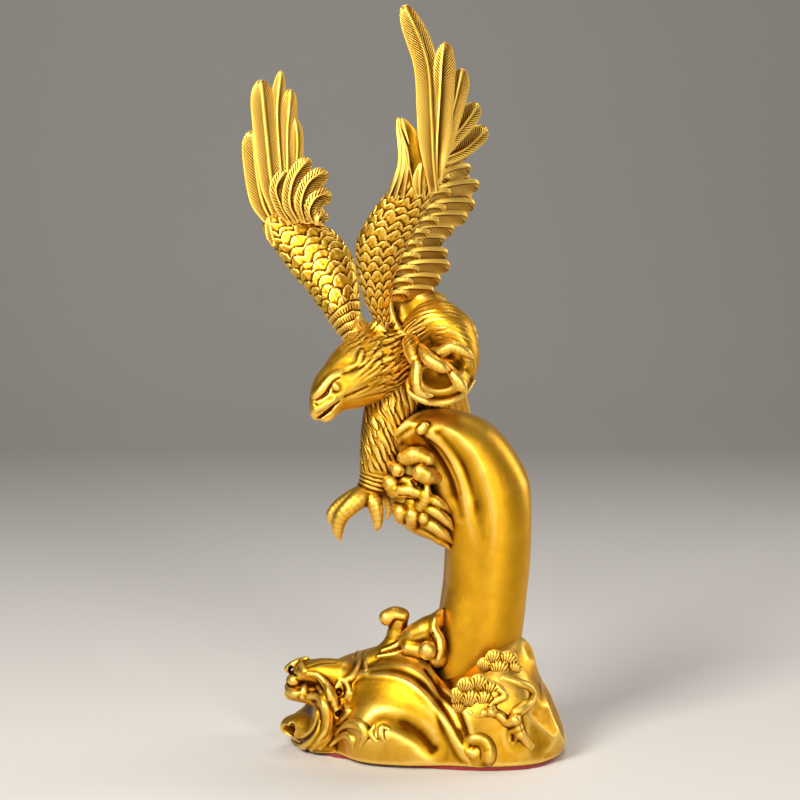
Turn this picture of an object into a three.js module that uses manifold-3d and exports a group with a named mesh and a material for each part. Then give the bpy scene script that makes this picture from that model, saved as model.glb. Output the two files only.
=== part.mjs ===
// A cast-bronze statuette: an eagle landing on the crest of a breaking wave, on a rock and surf base.
// Millimetres, +Z up. The origin is the centre of the felt pad's underside, and the eagle faces -X.
import * as THREE from 'three';
import { mergeVertices } from 'three/addons/utils/BufferGeometryUtils.js';
import Module from 'manifold-3d';

const wasm = await Module();
wasm.setup();

// Driving dimensions
const GAP = 0.35; // clearance between neighbouring castings
const FELT = { thick: 1.5, inset: 1 };
const BASE = { halfX: 70, halfY: 45, bottom: 1.8, wall: 4.5, deck: 21.7 };
const COVER = { bottom: 2.1, thick: 2, gap: 0.5 };
const SCREW = { r: 1.5, head: 2.9, headThick: 1.6, length: 9, boss: 4.2, clear: 0.25 };
const ROD = { x: 24, y: 0, r: 3, bottom: 14, top: 62, clear: 0.3 };
const COLUMN = { foot: 26, wall: 5, web: 14 };
const DOWEL = { r: 2, length: 14, clear: 0.15 };

// The base's outline on the table, anticlockwise from its left end.
const FOOTPRINT = [
  [-71, 24], [-66, -3], [-36, -28], [4, -42], [34, -45], [55, -37],
  [68, -6], [66, 20], [40, 40], [0, 46], [-40, 44], [-62, 38],
];

const OUTLINE_POINTS = 32;

const BRONZE = { color: 0xc98f1e, metalness: 1, roughness: 0.34 };
const material = {
  bronze: new THREE.MeshStandardMaterial(BRONZE),
  brassPlate: new THREE.MeshStandardMaterial({ color: 0xb08a3c, metalness: 1, roughness: 0.45 }),
  steel: new THREE.MeshStandardMaterial({ color: 0x8d9094, metalness: 1, roughness: 0.4 }),
  felt: new THREE.MeshStandardMaterial({ color: 0xb3121a, metalness: 0, roughness: 0.95 }),
};

const statuette = new THREE.Group();

// ---- solids ----------------------------------------------------------------------------------

function solid(geometry) {
  const bare = geometry.clone();
  bare.deleteAttribute('normal');
  bare.deleteAttribute('uv');
  const merged = mergeVertices(bare, 1e-4);
  return new wasm.Manifold(new wasm.Mesh({
    numProp: 3,
    vertProperties: merged.attributes.position.array,
    triVerts: new Uint32Array(merged.index.array),
  }));
}

function union(solids) {
  return solids.reduce((whole, next) => whole.add(next));
}

// Adds a piece, without the slivers that a cut can leave beside it.
function place(name, body, finish) {
  const pieces = body.decompose().sort((a, b) => b.volume() - a.volume());
  const mesh = pieces[0].getMesh();
  const geometry = new THREE.BufferGeometry();
  geometry.setAttribute('position', new THREE.BufferAttribute(mesh.vertProperties, 3));
  geometry.setIndex(new THREE.BufferAttribute(mesh.triVerts, 1));
  geometry.computeVertexNormals();
  const made = new THREE.Mesh(geometry, finish);
  made.name = name;
  statuette.add(made);
}

// Joins rings of equal count into one closed geometry with flat ends.
function skin(rings) {
  const count = rings[0].length;
  const position = rings.flat().flatMap((p) => [p.x, p.y, p.z]);
  const index = [];
  for (let i = 0; i + 1 < rings.length; i++) {
    for (let j = 0; j < count; j++) {
      const a = i * count + j;
      const b = i * count + ((j + 1) % count);
      index.push(a, b, b + count, a, b + count, a + count);
    }
  }
  for (const [ring, first, turn] of [[rings[0], 0, 1], [rings.at(-1), (rings.length - 1) * count, 0]]) {
    const middle = ring.reduce((sum, p) => sum.add(p), new THREE.Vector3()).divideScalar(count);
    const hub = position.length / 3;
    position.push(middle.x, middle.y, middle.z);
    for (let j = 0; j < count; j++) {
      const a = first + j;
      const b = first + ((j + 1) % count);
      index.push(...(turn ? [hub, b, a] : [hub, a, b]));
    }
  }
  const geometry = new THREE.BufferGeometry();
  geometry.setAttribute('position', new THREE.Float32BufferAttribute(position, 3));
  geometry.setIndex(index);
  return geometry;
}

// Sweeps an ellipse along a smooth curve. sizes holds [half width, half thickness] at each point,
// and facing is the direction in which the thickness is measured.
function sweep(points, sizes, facing, { rings = 10, sides = 10, grow = 0 } = {}) {
  const curve = new THREE.CatmullRomCurve3(points.map((p) => new THREE.Vector3(...p)), false, 'centripetal');
  const steps = sizes.length - 1;
  const normal = new THREE.Vector3(...facing).normalize();
  const made = [];
  for (let i = 0; i <= rings; i++) {
    const t = i / rings;
    const k = Math.min(Math.floor(t * steps), steps - 1);
    const f = t * steps - k;
    const [a, b] = [0, 1].map((n) => THREE.MathUtils.lerp(sizes[k][n], sizes[k + 1][n], f) + grow);
    const along = curve.getTangent(t);
    const across = new THREE.Vector3().crossVectors(normal, along).normalize();
    const out = new THREE.Vector3().crossVectors(along, across).normalize();
    const centre = curve.getPoint(t);
    if (i === 0) centre.addScaledVector(along, -grow);
    if (i === rings) centre.addScaledVector(along, grow);
    const ring = [];
    for (let j = 0; j < sides; j++) {
      const u = (2 * Math.PI * (j + 0.5)) / sides;
      ring.push(centre.clone().addScaledVector(across, a * Math.cos(u)).addScaledVector(out, b * Math.sin(u)));
    }
    made.push(ring);
  }
  return solid(skin(made));
}

function lump([x, y, z], [rx, ry, rz], grow = 0, across = 12) {
  const ball = new THREE.SphereGeometry(1, across, Math.round(across * 0.7));
  return solid(ball.scale(rx + grow, ry + grow, rz + grow).translate(x, y, z));
}

// An upright cylinder from z = low to z = high.
function rod(x, y, low, high, r, sides = 16) {
  const shape = new THREE.CylinderGeometry(r, r, high - low, sides).rotateX(Math.PI / 2);
  return solid(shape.translate(x, y, (low + high) / 2));
}

function bar(from, to, r, sides = 12) {
  const a = new THREE.Vector3(...from);
  const way = new THREE.Vector3(...to).sub(a);
  const shape = new THREE.CylinderGeometry(r, r, way.length(), sides);
  const turn = new THREE.Quaternion().setFromUnitVectors(new THREE.Vector3(0, 1, 0), way.clone().normalize());
  return solid(shape.applyQuaternion(turn).translate(...a.addScaledVector(way, 0.5)));
}

// A feather: a blade that widens from its quill, then rounds off at its tip.
function feather(root, middle, tip, width, thick, facing, grow = 0) {
  const profile = [0.55, 0.85, 1, 0.98, 0.85, 0.35];
  const sizes = profile.map((w, i) => [w * width, thick * (1 - 0.09 * i)]);
  return sweep([root, middle, tip], sizes, facing, { rings: 5, sides: 6, grow });
}

function between(a, b, t, bow = [0, 0, 0]) {
  return a.map((v, i) => v + (b[i] - v) * t + bow[i]);
}

function along(points, t) {
  return new THREE.CatmullRomCurve3(points.map((p) => new THREE.Vector3(...p)), false, 'centripetal')
    .getPoint(t).toArray();
}

// ---- base ------------------------------------------------------------------------------------

function footprint(inset) {
  const sx = (BASE.halfX - inset) / BASE.halfX;
  const sy = (BASE.halfY - inset) / BASE.halfY;
  const curve = new THREE.CatmullRomCurve3(
    FOOTPRINT.map(([x, y]) => new THREE.Vector3(x * sx, y * sy, 0)), true, 'centripetal');
  return curve.getPoints(OUTLINE_POINTS).slice(0, OUTLINE_POINTS);
}

// Stacks the outline at [height, inset] levels.
function stack(levels) {
  return solid(skin(levels.map(([z, inset]) => footprint(inset).map((p) => new THREE.Vector3(p.x, p.y, z)))));
}

// The swells and boulders that make up the base, each [centre, radii].
const SWELLS = [
  [[-20, -14, 22], [26, 24, 26]], [[-3, -20, 16], [20, 22, 21]], [[22, -2, 24], [32, 32, 27]],
  [[44, -6, 28], [20, 30, 27]], [[39, -8, 44], [14, 19, 18]], [[53, -4, 18], [15, 28, 22]],
  [[36, 18, 28], [24, 20, 27]], [[-46, 8, 22], [22, 24, 24]], [[-12, 20, 22], [34, 22, 25]],
];

function scrollFoam(grow = 0) {
  const options = { grow, rings: 7, sides: 7 };
  const front = [0, -1, 0];
  return union([
    lump([-50, -16, 18], [13, 12, 17], grow, 12),
    sweep([[-48, -14, 36], [-60, -4, 40], [-67, 1, 39], [-71, 3, 35]], [[9, 10], [7, 10], [5, 8], [2, 4]], front, options),
    sweep([[-58, -14, 38], [-50, -20, 28], [-52, -22, 14], [-62, -14, 5]], [[4, 4], [5, 5], [5, 5], [3, 4]], front, options),
    sweep([[-53, -10, 30], [-63, -5, 32], [-69, -1, 30], [-72, 1, 27]], [[5, 7], [5, 6], [5, 5], [2.5, 3]], front, options),
    sweep([[-50, -8, 10], [-60, -1, 11], [-66, 3, 12], [-71, 5, 12]], [[6, 8], [6, 8], [5, 7], [4, 5]], front, options),
    sweep([[-58, -6, 5], [-64, 4, 5], [-69, 12, 4]], [[3, 6], [3, 5], [2, 3]], front, options),
    sweep([[-48, -25, 6], [-38, -33, 17], [-27, -37, 13], [-28, -38, 7]], [[3, 3], [4, 4], [3, 3], [1.5, 1.5]], front, options),
  ]);
}

function curlKnob(grow = 0) {
  const points = [[-17, 0, 44], [-17, -1, 54], [-15, -2, 63], [-17, -3, 68], [-23, -4, 66]];
  const sizes = [[9, 8], [6, 6], [6, 5.5], [6, 5], [3, 3]];
  return sweep(points, sizes, [0, -1, 0], { grow, rings: 10, sides: 10 });
}

function pineTree(grow = 0) {
  const options = { grow, rings: 8, sides: 6 };
  const front = [0.1, -1, 0.2];
  return union([
    sweep([[36, -45, 9], [38, -42, 18], [45, -36, 30], [51, -31, 38], [46, -29, 46], [36, -27, 49]],
      [[3, 3], [2.2, 2.5], [2, 2.5], [2, 2.5], [2, 2.5], [1.5, 2]], front, options),
    sweep([[38, -42, 16], [31, -43, 23], [25, -41, 30], [21, -39, 36]], [[2, 2.5], [2, 2.5], [2, 2.5], [2, 2.5]], front, options),
    lump([20, -36, 38], [10.5, 7, 6.5], grow, 12),
    lump([29, -27, 53], [10, 7, 6.5], grow, 12),
  ]);
}

function waveColumn(grow = 0) {
  const points = [[25, 0, COLUMN.foot], [26, 0, 55], [29, 0, 82], [30, 0, 107], [27, 0, 131], [17, -1, 151],
    [1, -3, 163], [-14, -5, 162], [-21, -6, 157]];
  const sizes = [[24, 25], [21, 23], [20.5, 22], [21, 22], [23, 23], [21, 24], [13, 23], [8, 18], [2, 10]];
  return sweep(points, sizes, [0, -1, 0], { grow, rings: 18, sides: 18 });
}

function columnCore() {
  const w = COLUMN.wall;
  const points = [[26, 0, COLUMN.foot + COLUMN.web], [26, 0, 55], [29, 0, 82], [30, 0, 107], [27, 0, 131], [19, -1, 149]];
  const sizes = [[21, 22], [21, 23], [20.5, 22], [21, 22], [21, 23], [11, 14]].map(([a, b]) => [a - w, b - w]);
  return sweep(points, sizes, [0, -1, 0], { rings: 14, sides: 12 });
}

function crestFoam(grow = 0) {
  const front = [0, -1, 0];
  const options = { grow, rings: 5, sides: 8 };
  return union([
    lump([-4, -8, 148], [7, 9, 6], grow, 10), lump([1, -10, 139], [6.5, 9, 6.5], grow, 10),
    lump([-9, -6, 137], [7, 8, 7], grow, 10), lump([-9, -4, 126], [8, 9, 7], grow, 10),
    sweep([[2, -12, 131], [4, -14, 124], [9, -11, 112]], [[5, 6], [7, 7], [3, 4]], front, options),
    sweep([[-14, -4, 132], [-4, -6, 122], [7, -4, 113]], [[5, 6], [7, 9], [4, 8]], front, options),
  ]);
}

// ---- eagle -----------------------------------------------------------------------------------

const NEAR_ARM = [[-16, -5, 203], [-25, -12, 219], [-28, -18, 233], [-25, -24, 250], [-18, -28, 266], [-9, -31, 279], [-2, -33, 291]];
const FAR_ARM = [[-33, 5, 204], [-44, 16, 226], [-53, 25, 243], [-63, 33, 257], [-72, 38, 266]];

function nearWing(grow = 0) {
  const vane = [0.35, -0.93, 0];
  const trail = [0.6, -0.8, 0.1];
  const blades = [
    [[-3, -33, 276], [0, -35, 318], [-12, -30, 369], 6], [[-1, -35, 276], [2, -38, 308], [3, -36, 340], 5],
    [[0, -32, 280], [6, -32, 322], [8, -28, 353], 5], [[1, -30, 280], [8, -28, 315], [15, -23, 340], 5],
    [[2, -29, 280], [12, -25, 305], [22, -18, 324], 5.5], [[1, -28, 278], [13, -22, 298], [25, -15, 312], 5.5],
    [[-9, -34, 268], [-12, -38, 292], [-15, -38, 313], 4], [[-7, -34, 268], [-8, -39, 290], [-10, -39, 308], 4],
  ].map(([root, middle, tip, width]) => feather(root, middle, tip, width, 2, vane, grow));
  const roots = [[-3, -29, 287], [-11, -26, 266], [-20, -19, 246], [-24, -8, 225]];
  const tips = [[18, -12, 298], [24, -4, 282], [12, 5, 261], [9, 10, 246], [3, 11, 229]];
  const count = 11;
  for (let i = 0; i < count; i++) {
    const [root, tip] = [along(roots, i / (count - 1)), along(tips, i / (count - 1))];
    blades.push(feather(root, between(root, tip, 0.55, [1, -3, -1]), tip, 4.2, 2.2, trail, grow));
  }
  const arm = sweep(NEAR_ARM, [[9, 7], [8, 8], [9, 8], [12, 8], [12, 8], [8, 6], [5, 4]], vane, { grow, rings: 11, sides: 9 });
  return union([arm, ...blades]);
}

function farWing(grow = 0) {
  const vane = [0.45, -0.88, 0.1];
  const blades = [
    [[-72, 37, 250], [-88, 40, 280], [-91, 44, 309], 6.5], [[-70, 39, 252], [-80, 42, 290], [-86, 47, 336], 6.5],
    [[-68, 40, 252], [-76, 45, 292], [-76, 52, 342], 5], [[-65, 41, 254], [-71, 46, 290], [-71, 54, 333], 5],
    [[-62, 42, 254], [-67, 48, 284], [-68, 55, 314], 4.5], [[-64, 36, 254], [-75, 32, 272], [-74, 34, 289], 4],
    [[-61, 36, 254], [-68, 31, 276], [-66, 34, 291], 4], [[-59, 37, 254], [-63, 31, 280], [-61, 32, 297], 4],
    [[-56, 37, 254], [-59, 33, 276], [-53, 36, 288], 4.5], [[-53, 37, 254], [-56, 35, 268], [-50, 40, 278], 4],
  ].map(([root, middle, tip, width]) => feather(root, middle, tip, width, 2.2, vane, grow));
  const arm = sweep(FAR_ARM, [[8, 6], [12, 8], [16, 9], [16, 8], [12, 5]], vane, { grow, rings: 12, sides: 10 });
  return union([arm, ...blades]);
}

function tail(grow = 0) {
  const spread = 7;
  const blades = [];
  for (let i = 0; i < spread; i++) {
    const s = i / (spread - 1) - 0.5;
    const tip = [8 + 24 * s, 64 - 14 * Math.abs(s), 150 + 8 * Math.abs(s)];
    blades.push(feather([2 + 6 * s, 14, 201], [5 + 14 * s, 40, 186], tip, 5, 2, [0, 0.55, 0.83], grow));
  }
  return union(blades);
}

// A foot's toe, from the palm to its claw.
function toe(points, thick, grow) {
  return sweep(points, [[thick, thick], [thick * 1.05, thick * 1.05], [thick * 0.9, thick * 0.9], [0.5, 0.5]],
    [0.2, -0.7, 0.68], { grow, rings: 6, sides: 6 });
}

function raisedLeg(grow = 0) {
  const front = [0, -1, 0];
  return union([
    lump([9, -7, 207], [14, 11, 14], grow, 16),
    sweep([[14, -8, 207], [18, -10, 195], [17, -12, 180]], [[9, 9], [7, 8], [3, 4]], front, { grow, rings: 6 }),
    lump([6, -22, 188.5], [13, 12, 12.5], grow, 14),
    lump([5, -24, 202], [9, 8, 6], grow, 12),
    toe([[4, -30, 203], [9, -33, 208], [16, -34, 207], [20, -34, 200]], 2.6, grow),
    toe([[-3, -28, 205], [0, -35, 204], [4, -38, 199], [8, -38, 195]], 3, grow),
    toe([[7, -29, 200], [10, -36, 197], [13, -38, 191], [17, -37, 185]], 2.6, grow),
    toe([[-6, -27, 203], [-7, -34, 197], [-6, -36, 188], [0, -37, 183]], 2.4, grow),
  ]);
}

function reachingLeg(grow = 0) {
  return union([
    sweep([[-12, 3, 186], [-20, 3, 176], [-23, 3, 160], [-27, 2, 144], [-29, 0, 134]],
      [[9, 9], [10, 10], [9, 9], [7.5, 7.5], [4, 4]], [0, -1, 0], { grow, rings: 10, sides: 12 }),
    lump([-30, 0, 130], [5, 5, 4.5], grow, 10),
    toe([[-30, -1, 131], [-38, -4, 126], [-45, -6, 119], [-47, -7, 107]], 3, grow),
    toe([[-32, 2, 130], [-41, 4, 124], [-47, 6, 119], [-48, 6, 112]], 2.4, grow),
    toe([[-29, -2, 130], [-28, -6, 124], [-27, -8, 119], [-26, -8, 113]], 2.4, grow),
    toe([[-28, 2, 130], [-23, 8, 126], [-21, 10, 120], [-23, 10, 114]], 2.4, grow),
  ]);
}

function eagleBody() {
  const neck = sweep(
    [[-4, -1, 208], [-20, -8, 205], [-34, -15, 197], [-44, -21, 190], [-51, -26, 182], [-55, -28, 176], [-57, -28, 171]],
    [[18, 16], [18, 15], [15, 13], [12, 11], [9, 8], [6, 5.5], [2, 2]], [0.4, -0.9, 0.1], { rings: 14, sides: 12 });
  return union([neck, lump([-4, 5, 203], [22, 18, 20], 0, 16), lump([6, 8, 210], [18, 14, 14], 0, 14),
    lump([-2, 6, 188], [15, 16, 16], 0, 14)]);
}

// ---- hidden fixings --------------------------------------------------------------------------

const SCREWS = [[-48, 16], [-14, -24], [30, 28], [44, -20]];
const DOWELS = {
  near_wing_dowel: [[-14, -3, 201], [-21, -8, 211]],
  far_wing_dowel: [[-22, 2, 205], [-35, 8, 212]],
  tail_dowel: [[0, 10, 203], [2, 22, 198]],
  reaching_leg_dowel: [[-10, 3, 189], [-19, 3, 178]],
  raised_leg_dowel: [[-2, -1, 208], [8, -7, 212]],
};
const BODY_STUD = { from: [0, 4, 152], to: [-4, 4, 194], r: 2.5 };

function dowelHoles(names) {
  return union(names.map((n) => bar(...DOWELS[n], DOWEL.r + DOWEL.clear)));
}

// ---- assembly --------------------------------------------------------------------------------

const felt = stack([[0, FELT.inset], [FELT.thick, FELT.inset]]);
place('felt_pad', felt, material.felt);

const wing = { near: nearWing(), far: farWing() };
const leg = { raised: raisedLeg(), reaching: reachingLeg() };
const column = waveColumn();

let base = union([
  stack([[BASE.bottom, 1], [9, 0.5], [18, 3], [BASE.deck + BASE.wall, 10]]),
  ...SWELLS.map(([centre, radii]) => lump(centre, radii, 0, 16)),
]);
const floor = solid(new THREE.BoxGeometry(200, 200, 100).translate(0, 0, BASE.bottom - 50));
const hollow = stack([[BASE.bottom - 1, BASE.wall], [9, BASE.wall], [BASE.deck, BASE.wall + 8]]);
const bosses = union(SCREWS.map(([x, y]) => rod(x, y, COVER.bottom + COVER.thick + GAP, BASE.deck + 1, SCREW.boss)));
const rodHole = rod(ROD.x, ROD.y, BASE.deck - 2, 90, ROD.r + ROD.clear);
base = base.subtract(floor).subtract(hollow.subtract(bosses)).subtract(rodHole)
  .subtract(waveColumn(GAP)).subtract(scrollFoam(GAP)).subtract(curlKnob(GAP)).subtract(pineTree(GAP));
SCREWS.forEach(([x, y]) => {
  base = base.subtract(rod(x, y, 3, COVER.bottom + SCREW.headThick + SCREW.length + 0.5, SCREW.r + 0.1));
});
place('base_casting', base, material.bronze);

let cover = stack([[COVER.bottom, BASE.wall + 1], [COVER.bottom + COVER.thick, BASE.wall + 1]]);
SCREWS.forEach(([x, y], i) => {
  const top = COVER.bottom + SCREW.headThick;
  cover = cover.subtract(rod(x, y, 1, top, SCREW.head + SCREW.clear)).subtract(rod(x, y, 1, 9, SCREW.r + SCREW.clear));
  const screw = rod(x, y, COVER.bottom, top - GAP, SCREW.head).add(rod(x, y, COVER.bottom, top + SCREW.length, SCREW.r - 0.1));
  place(`cover_screw_${i + 1}`, screw, material.steel);
});
place('base_cover_plate', cover, material.brassPlate);

place('tie_rod', rod(ROD.x, ROD.y, ROD.bottom, ROD.top, ROD.r), material.steel);
const rodPass = rod(ROD.x, ROD.y, 0, 90, ROD.r + 0.2);
place('tie_rod_washer', rod(ROD.x, ROD.y, 19.8, 21.4, 8, 24).subtract(rodPass), material.steel);
place('tie_rod_nut', rod(ROD.x, ROD.y, 14.8, 19.5, 5.8, 6).subtract(rodPass), material.steel);

place('surf_scroll', scrollFoam().subtract(floor).subtract(hollow), material.bronze);
place('curl_knob', curlKnob().subtract(waveColumn(GAP)), material.bronze);
place('pine_relief', pineTree().subtract(floor).subtract(waveColumn(GAP)).subtract(hollow), material.bronze);

const studHole = bar(BODY_STUD.from, BODY_STUD.to, BODY_STUD.r + 0.2);
place('wave_column', column.subtract(columnCore()).subtract(rodHole).subtract(studHole)
  .subtract(reachingLeg(GAP)).subtract(raisedLeg(GAP)), material.bronze);
place('crest_foam', crestFoam().subtract(waveColumn(GAP)).subtract(reachingLeg(GAP)), material.bronze);
place('body_stud', bar(BODY_STUD.from, BODY_STUD.to, BODY_STUD.r), material.steel);

const body = eagleBody().subtract(nearWing(GAP)).subtract(farWing(GAP)).subtract(raisedLeg(GAP))
  .subtract(reachingLeg(GAP)).subtract(tail(GAP)).subtract(waveColumn(GAP)).subtract(studHole)
  .subtract(dowelHoles(Object.keys(DOWELS)));
place('eagle_body', body, material.bronze);

place('near_wing', wing.near.subtract(raisedLeg(GAP)).subtract(tail(GAP)).subtract(dowelHoles(['near_wing_dowel'])), material.bronze);
place('far_wing', wing.far.subtract(nearWing(GAP)).subtract(dowelHoles(['far_wing_dowel'])), material.bronze);
place('tail', tail().subtract(raisedLeg(GAP)).subtract(waveColumn(GAP)).subtract(dowelHoles(['tail_dowel'])), material.bronze);
place('reaching_leg', leg.reaching.subtract(studHole).subtract(dowelHoles(['reaching_leg_dowel'])), material.bronze);
place('raised_leg', leg.raised.subtract(reachingLeg(GAP)).subtract(studHole)
  .subtract(dowelHoles(['raised_leg_dowel'])), material.bronze);
Object.entries(DOWELS).forEach(([name, [from, to]]) => place(name, bar(from, to, DOWEL.r), material.steel));

export default statuette;
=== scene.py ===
# The looks of a cast-bronze eagle statuette. Its masses are modelled in clay, which is signed distances on
# voxels, and its feathers are swept meshes.
# Shapes are written in millimetres in the CAD model's own frame, and the meshes are made in metres.
import math

import bpy
import numpy as np
import openvdb
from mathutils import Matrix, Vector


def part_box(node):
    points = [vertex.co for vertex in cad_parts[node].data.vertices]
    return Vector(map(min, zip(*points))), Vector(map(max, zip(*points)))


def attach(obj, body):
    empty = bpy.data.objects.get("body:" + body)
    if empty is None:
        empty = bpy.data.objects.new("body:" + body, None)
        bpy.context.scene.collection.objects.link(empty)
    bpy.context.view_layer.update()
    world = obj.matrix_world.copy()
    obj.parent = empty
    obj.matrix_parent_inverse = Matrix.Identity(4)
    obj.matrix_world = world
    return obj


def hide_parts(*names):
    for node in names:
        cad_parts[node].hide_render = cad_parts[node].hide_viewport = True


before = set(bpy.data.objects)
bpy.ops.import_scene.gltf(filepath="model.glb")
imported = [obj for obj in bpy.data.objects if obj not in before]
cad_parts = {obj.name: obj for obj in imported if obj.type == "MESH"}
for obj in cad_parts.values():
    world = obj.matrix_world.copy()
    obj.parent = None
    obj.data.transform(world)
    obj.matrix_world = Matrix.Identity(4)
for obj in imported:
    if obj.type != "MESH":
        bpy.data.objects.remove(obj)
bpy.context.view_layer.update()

MM = 0.001
FAR = 12.0  # what an empty voxel holds, and how far round a shape its distances are worked out
COARSE = 1.0  # a quick build uses larger voxels and wider barbs
SHRINK, SWELL = 0.55, 0.45  # the two turns of smoothing that take off steps but keep the size

# ---- camera ----------------------------------------------------------------------------------

LOOK_AT = (-15.0, 0.0, 177.4)
LOOK_DOWN = math.radians(6)
DISTANCE = 1111.0
EYE = np.array(LOOK_AT) + DISTANCE * np.array([0, -math.cos(LOOK_DOWN), math.sin(LOOK_DOWN)])


def make_camera():
    """A camera that looks a little down on the statuette."""
    data = bpy.data.cameras.new("camera")
    data.lens = 100
    data.sensor_width = 36
    data.clip_start = 0.05
    data.clip_end = 20
    camera = bpy.data.objects.new("camera", data)
    camera.location = EYE * MM
    camera.rotation_euler = (math.radians(90) - LOOK_DOWN, 0, 0)
    bpy.context.scene.collection.objects.link(camera)
    bpy.context.scene.camera = camera


make_camera()

# ---- curves ----------------------------------------------------------------------------------


def smooth_curve(points, count):
    """Points of a centripetal Catmull-Rom curve, evenly spread over its spans."""
    p = np.asarray(points, float)
    p = np.vstack([2 * p[0] - p[1], p, 2 * p[-1] - p[-2]])
    spans = len(p) - 3
    out = []
    for t in np.linspace(0, spans, count):
        i = min(int(t), spans - 1)
        p0, p1, p2, p3 = p[i:i + 4]
        k = [0.0]
        for a, b in ((p0, p1), (p1, p2), (p2, p3)):
            k.append(k[-1] + max(np.linalg.norm(b - a), 1e-6) ** 0.5)
        u = k[1] + (t - i) * (k[2] - k[1])
        a1 = ((k[1] - u) * p0 + u * p1) / k[1]
        a2 = ((k[2] - u) * p1 + (u - k[1]) * p2) / (k[2] - k[1])
        a3 = ((k[3] - u) * p2 + (u - k[2]) * p3) / (k[3] - k[2])
        b1 = ((k[2] - u) * a1 + u * a2) / k[2]
        b2 = ((k[3] - u) * a2 + (u - k[1]) * a3) / (k[3] - k[1])
        out.append(((k[2] - u) * b1 + (u - k[1]) * b2) / (k[2] - k[1]))
    return np.array(out)


def spread(values, count):
    """Rows of values spread linearly over count places."""
    v = np.asarray(values, float)
    t = np.linspace(0, len(v) - 1, count)
    i = np.minimum(t.astype(int), len(v) - 2)
    f = (t - i).reshape((-1,) + (1,) * (v.ndim - 1))
    return v[i] * (1 - f) + v[i + 1] * f


def unit(v):
    """v at length 1."""
    v = np.asarray(v, float)
    return v / (np.linalg.norm(v, axis=-1, keepdims=True) + 1e-12)


# ---- clay ------------------------------------------------------------------------------------


def meet(a, b, blend):
    """The union of two distances, with a fillet about as wide as blend."""
    if blend <= 0:
        return np.minimum(a, b)
    h = np.maximum(blend - np.abs(a - b), 0) / blend
    return np.minimum(a, b) - h * h * blend / 4


def cell_corners(f):
    """The eight corners of a cell, each with its share at the place f inside the cell."""
    for dx in (0, 1):
        for dy in (0, 1):
            for dz in (0, 1):
                share = (np.where(dx, f[..., 0], 1 - f[..., 0]) * np.where(dy, f[..., 1], 1 - f[..., 1])
                         * np.where(dz, f[..., 2], 1 - f[..., 2]))
                yield dx, dy, dz, share


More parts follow.
